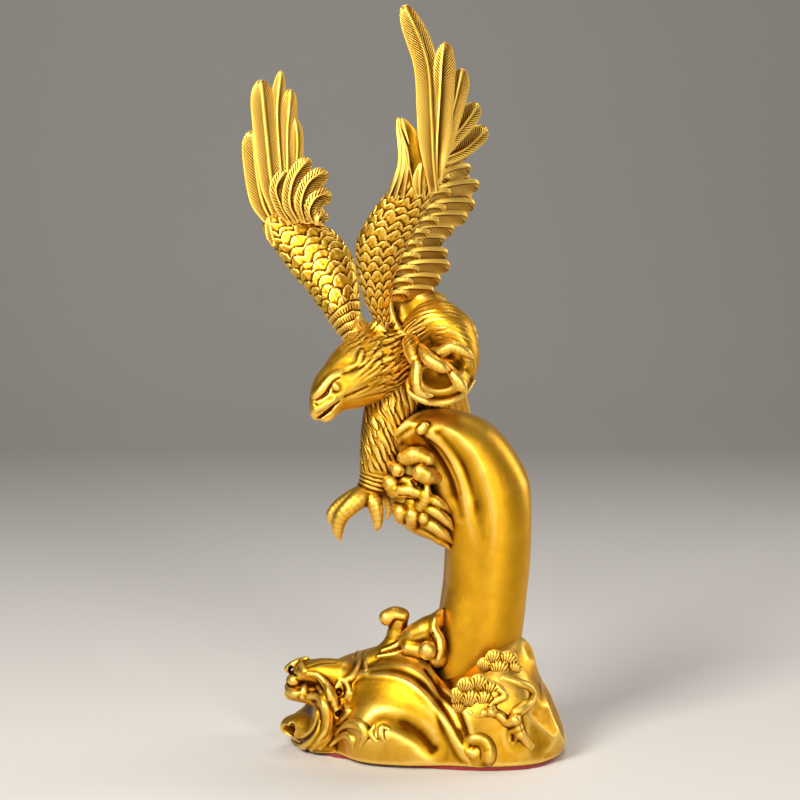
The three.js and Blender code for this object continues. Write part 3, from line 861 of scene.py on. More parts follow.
def mound():
    """The rounded block over the footprint. Its height varies from left to right."""
    edge = outline(0, 360)
    reach_at = np.hypot(edge[:, 0], edge[:, 1])
    skyline = smooth_curve([(x, z, 0) for x, z in HEIGHT], 200)

    def shape(clay):
        cut, (x, y, z) = clay.window((-90, -70, -20), (90, 70, 70))
        angle = np.mod(np.arctan2(y, x), 2 * math.pi)
        reach = np.interp(angle.ravel(), np.linspace(0, 2 * math.pi, 361), np.append(reach_at, reach_at[0]))
        reach = reach.reshape(angle.shape).astype(np.float32)
        top = np.interp(x.ravel(), skyline[:, 0], skyline[:, 1]).reshape(x.shape).astype(np.float32)
        side = np.sqrt(x * x + y * y) / reach
        k = (side ** SQUARENESS + (np.maximum(z, 0) / top) ** SQUARENESS) ** (1 / SQUARENESS)
        return cut, (k - 1) * np.minimum(reach, top) * 0.95
    return shape


def base_mass(clay):
    """The base's rounded masses."""
    clay.add(mound())
    # the swell in front, and the lobe under it
    clay.add(oval((-19, -17, 11), (26, 25, 28)), 3)
    clay.add(oval((-7, -23, 4), (22, 20, 24)), 5)
    # the sides that rise to the column
    clay.add(oval((24, 2, 26), (27, 28, 26)), 6)
    # rock on the right
    clay.add(oval((41, -9, 42), (13, 17, 18)), 4)
    clay.add(oval((54, -8, 14), (13.5, 27, 20)), 4)


def base_relief(clay):
    """Carves the breaking swell in front, and the rock."""
    lobe = [(-32, 9), (-26, 13.5), (-19, 13.5), (-12, 11), (-5, 6), (1, -1)]
    groove(clay, lobe, [1.8, 2.6, 3, 3, 2.6, 1.8], 1.7, 5)
    crest = [(-40, 25), (-38.5, 34), (-33.5, 37), (-25.5, 38), (-17.5, 37.5), (-10, 34.5), (-3.5, 29),
             (3, 23.5), (10, 12.5), (14.5, 3), (18, -3.5), (23, -8)]
    hook(clay, crest, [0.8, 1.5, 1.9, 2.0, 2.1, 2.1, 2.1, 2.1, 2.0, 2.0, 1.8, 1.3], -1.3, 3)
    trough = [(-30, 40.5), (-21, 41.5), (-9.5, 38.5), (-1.5, 33), (6, 24), (11.5, 15), (17, 3)]
    groove(clay, trough, [1.6, 2.6, 3.2, 3.2, 3.0, 2.8, 1.8], 1.3, 2.5)
    band = [(-29, 44.5), (-21, 45.5), (-10.5, 44.5), (-2.5, 39.5), (4, 32), (10.5, 22.5), (15.5, 12)]
    hook(clay, band, [2, 2.6, 3, 3, 2.6, 2.2, 1.4], -2, 3.5)
    groove(clay, [(-1.5, 40.5), (6, 29.5), (13, 20), (17.5, 9.5), (20.5, 0.5)], [1.2, 1.8, 2, 2, 1.2], 0.9,
           1.5)
    # the sill under the column's foot
    hook(clay, [(7, 35.5), (13.5, 38.5), (19, 45), (26, 50), (31.5, 55.5)], [0.9, 1.3, 1.5, 1.6, 1.4], -0.9,
         2)
    # rock planes with crisp edges between them
    for x, z, deep in ((51, 50, 1.0), (57, 39, 0.9), (61, 24, 0.4), (56, 17, 1.0), (55, 4, 1.0),
                       (46, 7, 0.9)):
        facet(clay, clay.spot(x, z), deep)
    for x, z, deep in ((54, 48, 1.3), (60, 34, 0.6), (62, 16, 0.6), (50, 26, 1.5), (44, 44, 1.5),
                       (40, 30, 1.4), (48, 8, 1.4), (34, 14, 1.3), (28, 34, 1.2), (20, 22, 1.1)):
        facet(clay, clay.back([(x, z)])[0], deep)
    # the back: a second swell rolls up to the column
    for path, size in (
        ([(-52, 8), (-48, 24), (-36, 36), (-20, 38), (-6, 30), (4, 18), (10, 4)],
         [0.6, 1.5, 1.9, 1.9, 1.9, 1.7, 0.8]),
        ([(-38, 8), (-34, 17), (-26, 22), (-17, 20), (-12, 12), (-11, 4)], [0.5, 1.2, 1.5, 1.5, 1.2, 0.5]),
    ):
        clay.add(sweep(clay.back(path, -1.0), size), 5)
        clay.cut(sweep(clay.back([(x + 3.4, z + 2.6) for x, z in path], 1.4), size), 4)
    bite(clay)


def facet(clay, spot, deep):
    """Shaves a nearly flat plane off a rounded part, square to the clay's surface at spot."""
    radius = 90
    way = unit([clay.sample(spot + step) - clay.sample(spot - step) for step in 2.5 * np.eye(3)])
    clay.cut(oval(spot + way * (radius - deep), (radius, radius, radius)), 0.4)


def bite(clay):
    """The hollow between the upper lip and the lower tube at the left end."""
    clay.cut(sweep([(-74, -30, 20), (-69, -4, 20.5), (-70, 30, 20)], [(9, 7.5), (10, 7.5), (9, 7)],
                   (0, 0, 1)), 3)
    clay.cut(sweep([(-60, -30, 20), (-66, -10, 21)], [(5, 5), (6, 5)], (0, 0, 1)), 3)


def flat_floor(clay):
    """Cuts the clay level with the base's underside."""
    clay.cut(slab((-100, -100, -60), (100, 100, FLOOR)), 0)


def build_base():
    """The base casting: its masses, its carving and a flat floor."""
    clay = Clay((-76, -50, 0), (73, 51, 66), 0.75)
    base_mass(clay)
    base_relief(clay)
    flat_floor(clay)
    points, quads = clay.mesh(4)
    normal = normals_of(points, quads)
    # the rock on the right is a little uneven
    rock = np.clip((points[:, 0] - 24) / 12, 0, 1) * np.clip((66 - points[:, 2]) / 20, 0, 1)
    dents, pits = 0.12 * noise3(points, 8, 1), 0.03 * noise3(points, 2.6, 2)
    push = dents * rock + pits * rock
    lift = np.clip((points[:, 2] - FLOOR) / 2, 0, 1)
    points = points + normal * (push * lift)[:, None]
    points[:, 2] = np.maximum(points[:, 2], FLOOR)
    make_piece("base_shell", points, quads, "bronze", "base_casting")
    return clay


def build_felt():
    """The felt under the base, cut to the footprint."""
    low, high = (np.array(corner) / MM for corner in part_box("felt_pad"))
    count, rings = 240, (1.0, 0.985, 0.8, 0.5, 0.2)
    edge = outline(0.4, count)
    place = np.column_stack([edge, np.zeros(count)])
    edge = edge * (1 + 0.004 * noise3(place, 2.2, 31) + 0.003 * noise3(place, 0.8, 32))[:, None]
    layers = []
    for z, order in ((low[2], rings[::-1]), (high[2], rings)):
        for ring in order:
            flat = np.column_stack([edge * ring, np.full(count, z)])
            flat[:, 2] += (0.06 if z > 1 else 0) * noise3(flat, 1.5, 33) * (ring < 1)
            layers.append(flat)
    points = np.concatenate([[[0, 0, low[2]]], *layers, [[0, 0, high[2]]]])
    points[:, 2] = points[:, 2].clip(low[2], high[2])
    index = 1 + np.arange(len(layers) * count).reshape(len(layers), count)
    after = np.roll(index, -1, axis=1)
    blank = np.full(count, -1)
    floor = np.stack([np.zeros(count, int), after[0], index[0], blank], axis=1)
    roof = np.stack([np.full(count, len(points) - 1), index[-1], after[-1], blank], axis=1)
    felt = make_piece("felt_sheet", points, np.vstack([floor, skin(index), roof]), "felt", "felt_pad")


# ---- wave column -----------------------------------------------------------------------------


def column_mass(clay):
    """The bent slab: a front rounding, a back rounding and a middle that fills the slot between them."""
    front = [(23, -7, 20), (24, -7, 52), (28.5, -7, 82), (29.5, -7, 107), (27, -7, 131), (17.5, -6, 151),
             (2, -6, 162), (-12, -6, 163), (-19, -7, 158)]
    front_size = [(24, 16), (21.6, 16), (20, 15.5), (21, 15.5), (22.5, 15.5), (19, 16), (11.5, 16), (6, 13),
                  (2, 7)]
    clay.add(sweep(front, front_size, steps=150))
    middle = [(24, 2, 20), (25, 2, 52), (28.2, 2, 82), (29.5, 2, 107), (27.2, 2, 131), (17.8, 2, 150.5),
              (2, 2, 160), (-12, 1, 161)]
    middle_size = [(22.5, 12), (21, 12), (20.2, 12), (21, 12), (22.5, 12), (18.6, 12), (11, 11), (6, 10)]
    clay.add(sweep(middle, middle_size, steps=130), 4)
    back = [(25, 11, 20), (25, 11, 55), (28, 11, 82), (29.5, 11, 107), (27.5, 11, 131), (18, 10, 150),
            (2, 9, 161), (-12, 8, 162), (-18, 6, 158)]
    back_size = [(22, 13), (21.6, 13), (21.2, 13), (21.8, 13), (23.4, 13), (19.5, 14), (11.5, 14), (6, 12),
                 (2, 6)]
    clay.add(sweep(back, back_size, steps=150), 4)


def column_relief(clay):
    """The hollow under the curl, the channel and the ridge beside it."""
    # the hollow of the curl, left of the ridge, and its thick floor
    groove(clay, [(-17, 153), (-8, 155), (1, 149), (7, 140), (11, 130), (13, 120)], [4, 7, 8.5, 8, 7, 4],
           4.6, 4)
    groove(clay, [(-19, 148), (-10, 143), (-3, 132), (2, 122)], [6, 9, 9, 6], 4, 4)
    clay.add(sweep([(-12, -2, 154), (-10, -2, 144), (-10.5, -2, 132), (-7, -3, 121), (5, -4, 114)],
                   [(8, 11), (10, 12), (10, 12), (9.5, 12), (8, 11)]), 5)
    strand(clay, [(-9, 156, -4), (1, 149, -6), (6.5, 138, -6.5), (9, 125, -6), (12, 113, -5)],
           [6.5, 8.5, 9, 8.5, 6], 3)
    channel = [(5, 160), (11, 153.5), (16.5, 145), (20.8, 134), (24, 122), (26, 109), (27, 95)]
    bed = clay.front(channel, 3.4)
    bed[-2:, 1] -= (1.8, 4.0)
    clay.cut(sweep(bed, [(3.2, 4.4), (4.4, 4.8), (5, 5), (5, 5), (5, 4.8), (4.6, 4.4), (3, 3.6)]), 4)
    ridge = [(-3, 163.3), (0.5, 159.5), (5, 155), (9.6, 148.7), (13.6, 141.2), (16.8, 132), (19.4, 122.5),
             (21.4, 112)]
    line = clay.front(ridge, -0.6)
    line[-3:, 1] += (0.8, 2.2, 4.0)
    clay.add(sweep(line, [1.4, 1.8, 2.4, 2.7, 2.8, 2.6, 2.0, 1.0]), 3)
    hook(clay, [(-4.6, 162.2), (-2.8, 164.8)], [2.4, 2.0], 0.2, 1.2)
    groove(clay, [(-0.5, 156.5), (4.3, 152.2), (8.8, 145.6), (12.8, 137.5), (15, 130)],
           [0.8, 1.1, 1.2, 0.9, 0.4], 0.6, 1.6)
    # the hood of the crest
    hook(clay, [(-21, 157.5), (-16, 160.8), (-11, 166), (-6, 169.6)], [1.2, 1.6, 1.6, 1.0], -0.5, 2)
    groove(clay, [(-20.5, 155), (-15, 159), (-10, 163.2), (-5.5, 166)], [1.2, 1.8, 1.8, 1.0], 0.8, 1.5)


def build_column():
    """The wave's column, smoothed well."""
    clay = Clay((-27, -28, 20), (55, 28, 180), 0.6)
    column_mass(clay)
    column_relief(clay)
    points, quads = clay.mesh(24)
    make_piece("wave_shell", points, quads, "bronze", "wave_column")
    return clay


# ---- surf, pine and foam ----------------------------------------------------------------------


def build_scroll():
    """The surf's scrollwork at the left end, carved on a copy of the base's clay."""
    clay = Clay((-78, -44, 0), (-16, 24, 58), 0.4)
    clay.pour(base_clay, 0.45)

    def rib(places, size, lift):
        hook(clay, places, size, lift, 1.15)

    def crease(places, size, lift):
        groove(clay, places, size, lift, 1)

    # the upper lip, its rolled end and the ball under it
    clay.add(sweep([(-44, -8, 38), (-54, -5, 40), (-63, -2, 39.5), (-70, 1, 35)],
                   [(9, 9), (7, 9), (5, 8), (2.5, 5)]), 4)
    clay.add(sweep([(-58, -9, 29), (-65, -6, 29.5), (-69.5, -4, 29)], [(5, 6), (4.5, 6), (3.5, 5)]), 2)
    clay.add(sweep([(-50, -14, 30), (-53, -14, 18), (-54, -12, 8)], [(6, 8), (6, 8), (9, 9)]), 4)
    # the lower tube
    clay.add(sweep([(-52, -10, 9), (-60, -5, 11), (-66, -1, 11.5), (-70, 2, 11)],
                   [(7, 9), (7, 9), (6.5, 8.5), (5, 7)]), 3)
    clay.cut(sweep([(-66, -4, 9.5), (-74, -6, 9.5)], [(2.4, 3), (3.4, 4)]), 0.8)
    rib([(-71.5, 40.5), (-69, 42.5), (-66, 44.5), (-62, 46)], [2.2, 2.3, 1.7, 1.1], -0.9)
    crease([(-71, 39.5), (-70, 38.5), (-67.5, 37)], [0.5, 1, 0.4], 0.3)
    ball = clay.spot(-68.5, 34.5, -1.0)
    clay.add(oval(ball, (3.5, 3.2, 3.1)), 0.5)
    rib([(-72.5, 31.5), (-71, 29), (-68, 27.5), (-65.5, 28)], [1.2, 2, 2.1, 1.3], -0.5)
    # the small hook on the lip and the creases along it
    rib([(-63.5, 39.5), (-65, 42), (-64.5, 44), (-62.5, 45)], [1, 1.5, 1.3, 0.7], -0.4)
    crease([(-62, 41.5), (-56, 43.5), (-48, 44)], [0.3, 0.6, 0.3], 0.4)
    # the crescents that roll from the lip down to the foot
    crease([(-60, 23), (-57, 18.5), (-56.5, 12.5), (-59.5, 7), (-64.5, 3)], [1.1, 1.8, 2.1, 1.8, 1.1], 0.8)
    rib([(-61, 26.5), (-56, 26), (-53, 21.5), (-51.5, 16), (-52, 10), (-55, 4.5), (-60, -1)],
        [1.2, 2.1, 2.6, 2.7, 2.7, 2.4, 1.2], -0.5)
    rib([(-53, 34.5), (-50, 29), (-48.5, 22.5), (-47.5, 16.5), (-49, 10), (-52, 4.5), (-55.5, 0)],
        [1.1, 2.1, 2.4, 2.6, 2.4, 2.2, 1.1], -0.7)
    crease([(-51, 24.5), (-50, 19), (-50, 13), (-51.5, 7), (-55.5, 2.5)], [0.3, 0.6, 0.6, 0.6, 0.3], 0.4)
    rib([(-61.5, 38), (-56.5, 37), (-53, 33), (-51, 28.5), (-50.5, 25)], [1, 1.7, 2, 1.7, 0.9], -0.4)
    crease([(-61, 36), (-57, 35.5), (-54, 32), (-53, 28), (-52.5, 25.5)], [0.3, 0.6, 0.7, 0.6, 0.3], 0.5)
    rib([(-64.5, 26), (-63.5, 30), (-60, 33), (-56.5, 31.5), (-55, 28.5)], [1.2, 1.8, 1.8, 1.5, 0.9], -0.3)
    crease([(-62, 28), (-61, 29.5), (-58, 29.5), (-56.5, 28)], [0.4, 0.7, 0.7, 0.4], 0.5)
    rib([(-69.5, 2.5), (-66, 0), (-62, 1.5), (-57.5, 6.5), (-55.5, 13)], [1, 1.7, 1.8, 1.6, 0.9], -0.3)
    crease([(-67, 3.5), (-63.5, 4), (-59.5, 8), (-57.5, 13), (-57.5, 16.5)], [0.4, 0.8, 0.8, 0.7, 0.3], 0.4)
    # two curls with dark eyes, and the straps above them
    rib([(-38.5, 45.5), (-36, 48), (-35, 44.5), (-36.5, 39.5), (-40.5, 35.5), (-45, 34.5)],
        [1.2, 2, 2.3, 2.3, 1.8, 1.1], -0.4)
    rib([(-30.5, 49), (-32, 46), (-32.5, 42.5), (-32, 39.5)], [1.5, 2.1, 2, 1.2], -0.2)
    crease([(-33.5, 48), (-34.5, 43.5), (-35.5, 38)], [0.4, 0.6, 0.3], 0.4)
    eye_hole(clay, -39, 45, 2.0)
    rib([(-43, 34), (-41, 31), (-40.5, 28), (-42, 25), (-45, 24)], [1.1, 1.8, 2.3, 2.1, 1.1], -0.4)
    rib([(-47, 31), (-45.5, 32.5), (-44.5, 31)], [1.2, 1.6, 1], -0.3)
    eye_hole(clay, -46, 28.5, 1.9)
    rib([(-46, 22), (-42.5, 22), (-40.5, 18.5), (-43, 14), (-46.5, 12)], [1.1, 1.8, 2.3, 2.1, 1.2], -0.4)
    rib([(-47, 19.5), (-45.5, 20.5), (-44.5, 19.5)], [1.1, 1.5, 1], -0.3)
    eye_hole(clay, -46, 17.5, 1.9)
    # crescents along the foot
    rib([(-48.5, 5.5), (-43.5, 10), (-38.5, 12), (-34, 10.5), (-32.5, 6), (-34.5, 1.5)],
        [1, 2.1, 2.8, 3.2, 2.9, 1.3], -0.3)
    crease([(-45.5, 7), (-41.5, 8.5), (-37.5, 7.5), (-36, 4.5)], [0.5, 0.8, 0.8, 0.4], 0.5)
    rib([(-50, 1.5), (-45.5, 5), (-41, 6), (-38.5, 3.5), (-38.5, 0)], [1, 2, 2.4, 2.3, 1.1], -0.3)
    crease([(-45.5, 2.5), (-42, 3), (-41, 1)], [0.4, 0.7, 0.4], 0.4)
    rib([(-28, 11), (-29.5, 7), (-27, 3)], [1.1, 1.8, 1.2], -0.1)
    rib([(-21, 9.5), (-24, 10), (-24.5, 6.5), (-23, 3.5)], [1.3, 2.2, 2, 1.1], -0.1)
    crease([(-21.5, 7.5), (-21, 6), (-22, 4.5)], [0.4, 0.6, 0.3], 0.6)
    for z, wide in ((9.5, 1.9), (39.5, 1.8)):
        clay.cut(oval(clay.spot(-70, z), (wide, 3.4, wide * 1.5)), 0.7)
    clay.keep(slab((-80, -50, FLOOR), (-19, 16, 60), 3))
    flat_floor(clay)
    points, quads = clay.mesh(3)
    make_piece("surf_scrollwork", points, quads, "bronze", "surf_scroll")


def eye_hole(clay, x, z, size):
    """A deep round hole in the clay's front."""
    clay.cut(oval(clay.spot(x, z), (size, 2.2, size * 1.05)), 0.4)


def build_knob():
    """The small curl that rises from the base."""
    clay = Clay((-40, -20, 34), (6, 14, 78), 0.45)
    clay.pour(base_clay, 0.45)
    clay.add(sweep([(-30, -2, 46), (-20, -2, 50), (-10, -2, 53), (-2, -4, 55)],
                   [(4, 7), (5, 7), (5, 7), (4, 7)]), 4)
    clay.add(sweep([(-14.5, -2, 49), (-15.5, -2, 56), (-16, -2, 62), (-15.8, -2.5, 67)],
                   [(12, 8), (7, 6), (4.8, 5), (5, 5)]), 3)
    clay.add(sweep([(-13.6, -3, 68.8), (-17.5, -3.5, 69.2), (-21.6, -4.5, 67.8)],
                   [(3.4, 4.6), (4.2, 4.8), (4.1, 4.4)]), 1.5)
    groove(clay, [(-19.5, 63), (-17, 65.5), (-13, 65)], [0.5, 0.8, 0.4], 0.3, 1)
    hook(clay, [(-24, 50), (-18, 52), (-13, 55.5), (-9.5, 59)], [0.8, 1.3, 1.5, 1.0], 0, 1)
    hook(clay, [(-26, 47), (-17, 48.5), (-9, 52)], [0.8, 1.2, 0.8], 0, 1)
    clay.keep(slab((-38, -16, 38), (2, 12, 80), 4))
    points, quads = clay.mesh(3)
    make_piece("curl_crest", points, quads, "bronze", "curl_knob")


# the pine's tufts of needles: x, z and half width
TUFTS = [(15, 26.5, 5.2), (19, 31.5, 5.4), (25, 33, 5.4), (30.5, 30, 5.0), (16, 21, 4.4), (21.5, 25, 5.4),
         (28, 24.5, 5.2), (28.5, 42.5, 4.6), (33, 46, 5.0), (39.5, 45.5, 5.0), (42.5, 41, 4.4),
         (35.5, 40.5, 5.2)]
NEEDLES = 27  # strokes round a tuft
NEEDLE_DEPTH = 0.3
TUFT_SQUASH = 0.86  # a tuft's height as a share of its width


def build_pine():
    """The pine branch, in relief on the rock."""
    clay = Clay((8, -56, 0), (60, -2, 66), 0.42)
    clay.pour(base_clay, 0.3)
    clay.pour(column_clay, 0.3)

    def branch(places, size, lift):
        hook(clay, places, size, lift, 1.5)

    groove(clay, [(13, 23), (17.5, 18), (24, 15), (30, 15), (36, 12)], [1.0, 1.4, 1.5, 1.2, 0.8], 0.5, 0.8)
    groove(clay, [(25, 37), (30, 35), (34.5, 34), (39.5, 32.5)], [1.0, 1.4, 1.4, 0.8], 0.5, 0.8)
    groove(clay, [(48.5, 18.5), (53.5, 22), (55, 26.5), (54, 30.5)], [0.7, 1.3, 1.3, 0.8], 0.4, 0.8)
    branch([(52, 0.5), (48, 5), (45, 9.5), (43.5, 14), (44, 17.5), (47.5, 20.5), (51, 23.5), (52, 27.5),
            (50, 31), (45.5, 33), (37.5, 36)],
           [1.1, 2.3, 3, 3.4, 3.2, 2.8, 2.5, 2.4, 2.1, 2, 1.6], -0.2)
    branch([(45, 7), (43.5, 4), (42, 2)], [2.3, 1.6, 0.8], -0.5)
    branch([(45, 10), (41, 8), (40.5, 3.5)], [2.4, 1.7, 0.8], -0.5)
    branch([(46.5, 6.5), (49, 2.5), (51, -1)], [2.1, 1.6, 0.8], -0.5)
    branch([(43.5, 14), (39.5, 13), (36, 16), (32, 18), (27, 17.5), (23, 17), (18, 19)],
           [2.6, 2.4, 2.3, 2.1, 2, 1.6, 1.1], -0.2)
    branch([(31.5, 18), (32, 22.5), (34.5, 24.5), (38, 26.5), (34, 30)], [2, 1.7, 1.8, 2, 1], -0.3)
    branch([(27, 35), (31.5, 33), (34.5, 31), (38, 28)], [1.1, 2, 2.1, 1], -0.6)
    for x, z, wide, high in ((22.5, 26.5, 10.5, 8.5), (35.5, 42.5, 9.5, 5.5)):
        clay.add(oval(clay.spot(x, z, -0.6), (wide, 3, high)), 0.8)
    spots = []
    for x, z, size in TUFTS:
        spots.append(clay.spot(x, z))
        clay.add(oval(spots[-1] + (0, 0.9, 0), (size, 2.2, size * TUFT_SQUASH)), 0.4)
    groove(clay, [(23.5, 22.5), (24, 18.5)], [(0.8, 3), (2.2, 3)], 0, 0.3)
    # the little spiral at the foot
    clay.add(oval(clay.spot(25.5, -3.5, -0.8), (5.2, 3, 6.5)), 2)
    spiral = [(29.5, -11), (30, -5.5), (30, -0.5), (27.5, 3.5), (23.5, 4.5), (20, 2.5), (19.5, -1.5),
              (22.5, -3.5)]
    hook(clay, spiral, [2.6, 3.6, 3.8, 3.6, 3.3, 3, 2.8, 2.2], -1.4, 1.2)
    groove(clay, [(25.5, -8), (26, -3.5), (25, -0.5), (22.5, 0), (21.5, -1.5)], [0.3, 0.7, 0.9, 1.0, 0.5],
           0.5, 0.6)
    clay.keep(slab((10, -56, FLOOR), (57, -12, 60), 5))
    flat_floor(clay)
    points, quads = clay.mesh(2)
    normal = normals_of(points, quads)
    # needles fan from the lower middle of each tuft
    push = np.zeros(len(points))
    for (x, z, size), spot in zip(TUFTS, spots):
        dx, dy, dz = (points - spot).T
        near = smooth_step((0.95 - np.hypot(dx, dz / TUFT_SQUASH) / size) / 0.12) * (np.abs(dy) < 5)
        fan = np.arctan2(dz + 0.9 * size, dx + 0.3 * size)
        push = np.where(near > 0.3, near * (0.5 + 0.5 * np.sin(fan * NEEDLES)), push)
    points = points - normal * (NEEDLE_DEPTH * push)[:, None]
    make_piece("pine_carving", points, quads, "bronze", "pine_relief")


def build_foam():
    """Foam in the curl and foam at the column's foot, made in one block of clay and kept as two pieces."""
    clay = Clay((-28, -34, 34), (18, 16, 158), 0.42)
    clay.pour(column_clay, 0.4)
    clay.pour(base_clay, 0.4)
    # rounded lumps of foam, a small horn and the fingers that pour on to the column
    for path, size in (
        ([(-12.5, 148, -15), (-7, 149.5, -16.5), (-1.5, 147.5, -17)], [3.6, 4.6, 3.8]),
        ([(-4, 141, -18), (-1.5, 139.5, -18), (2.5, 138, -16)], [4.6, 4.4, 2.8]),
        ([(-17.5, 144.5, -13), (-16, 142.5, -15)], [2.6, 3.4]),
        ([(-21.5, 138, -8), (-19, 135, -11), (-17, 132, -12)], [3.6, 4.2, 3.4]),
        ([(-19, 131, -11), (-14.5, 131.5, -15), (-9, 131.5, -17), (-3, 129.5, -17)], [2.4, 2.9, 3.2, 2.6]),
        ([(-12, 136.5, -13), (-9, 135, -15)], [3, 3.2]),
        ([(-16.5, 122.5, -10), (-14, 120.5, -12), (-14, 118.5, -11)], [3.2, 4.2, 3.6]),
        ([(-9, 121.5, -14), (-8.5, 119, -15), (-8.5, 116, -13)], [3, 3.8, 3.4]),
        ([(-3, 120, -16), (-3, 117.5, -17.5)], [2, 2.6]),
        ([(-1.5, 135.5, -19), (-1.5, 132, -19), (-2, 128, -18), (-4, 124, -15.5)], [0.9, 1.6, 2.9, 3.6]),
        ([(-1.5, 128, -17), (2.5, 126.5, -18), (6.5, 123.5, -17), (10, 120.5, -15)], [2.4, 2.5, 2.1, 0.8]),
        ([(-0.5, 122.5, -17), (3.5, 120.5, -18), (8.5, 116, -17), (12, 111.5, -14.5)], [2.6, 2.8, 2.3, 0.8]),
        ([(-1.5, 115.5, -15), (1.5, 114, -17), (6.5, 110, -16.5), (11, 105.5, -14)], [2.8, 3.1, 2.7, 0.8]),
        ([(-6.5, 113.5, -11), (0, 111, -13), (5, 107.5, -13.5), (10.5, 102, -12)], [3, 3.2, 3, 0.9]),
        ([(-7, 125.5, -10), (-1.5, 119.5, -11), (4, 114, -11)], [6, 7, 5]),
    ):
        strand(clay, path, np.multiply(size, 1.12), 1.3)
    for path, size in (
        ([(-15.5, 128, -18), (-11.5, 127, -20), (-7, 126.5, -20)], [1.8, 2.6, 1.6]),
        ([(-15, 139, -18), (-11.5, 143, -20)], [1.0, 1.6]),
        ([(-4, 133, -21), (-6.5, 134.5, -20), (-9, 137, -18)], [1.5, 1.8, 1.0]),
    ):
        clay.cut(sweep(sights(*path), size), 0.6)
    # foam at the column's foot
    for path, size in (
        ([(-13, 55, -9), (-7.5, 58, -11), (-2, 60.5, -12), (2.5, 64, -12), (5.5, 70, -11)],
         [(4, 4), (5.6, 6), (6.4, 7), (5, 6.4), (1.8, 3)]),
        ([(3, 66, -17), (2.5, 61, -19), (5, 56, -21), (5.5, 51, -23), (4.5, 45.5, -24.5)],
         [1.2, 2.2, 2.4, 2.2, 1.2]),
        ([(-10, 51, -14), (-5, 50, -16)], [4.2, 4.2]),
        ([(0, 62, -10), (2.5, 54, -13), (4, 46, -16)], [5, 6.5, 5]),
    ):
        strand(clay, path, size, 2.2)
    clay.cut(sweep(sights((-8.4, 57.0, -18), (-4, 58.4, -20), (1.4, 58.6, -21)), [0.8, 1.3, 0.7]), 0.8)
    clay.add(oval(sight(-0.8, 50, -22.5), (4.8, 4.6, 4.8)), 0.6)
    for name, low, high, nodes in (
        ("crest_foam_cast", (-28, -34, 96), (14, 9, 156), ("crest_foam",)),
        ("foot_foam_cast", (-16, -34, 36), (13, 0, 80), ()),
    ):
        part = Clay((-28, -34, 34), (18, 16, 158), 0.42)
        part.d = clay.d.copy()
        part.keep(slab(low, high, 4))
        points, quads = part.mesh(2)
        make_piece(name, points, quads, "bronze", *nodes)


# ---- eagle -----------------------------------------------------------------------------------

# from the shoulders to the tip of the head
NECK = sights((-6, 205, 2), (-16, 202, -3), (-26, 197, -9), (-35.5, 191, -15), (-41.5, 186.6, -19),
              (-48, 182.6, -23), (-52.3, 177, -26), (-54.6, 172.4, -27))
NECK_SIZE = [(18, 16), (18.5, 16), (18, 15), (16.6, 13.5), (14.2, 12), (11.2, 9.6), (8.0, 7.2), (5.4, 5)]


def body_mass(clay):
    """The eagle's body and neck."""
    clay.add(oval((-4, 6, 203), (23, 18, 20)))
    clay.add(oval((7, 10, 208), (17, 14, 15)), 4)
    clay.add(oval((-3, 6, 188), (15, 15, 17)), 4)
    clay.add(sweep(NECK, NECK_SIZE), 4)


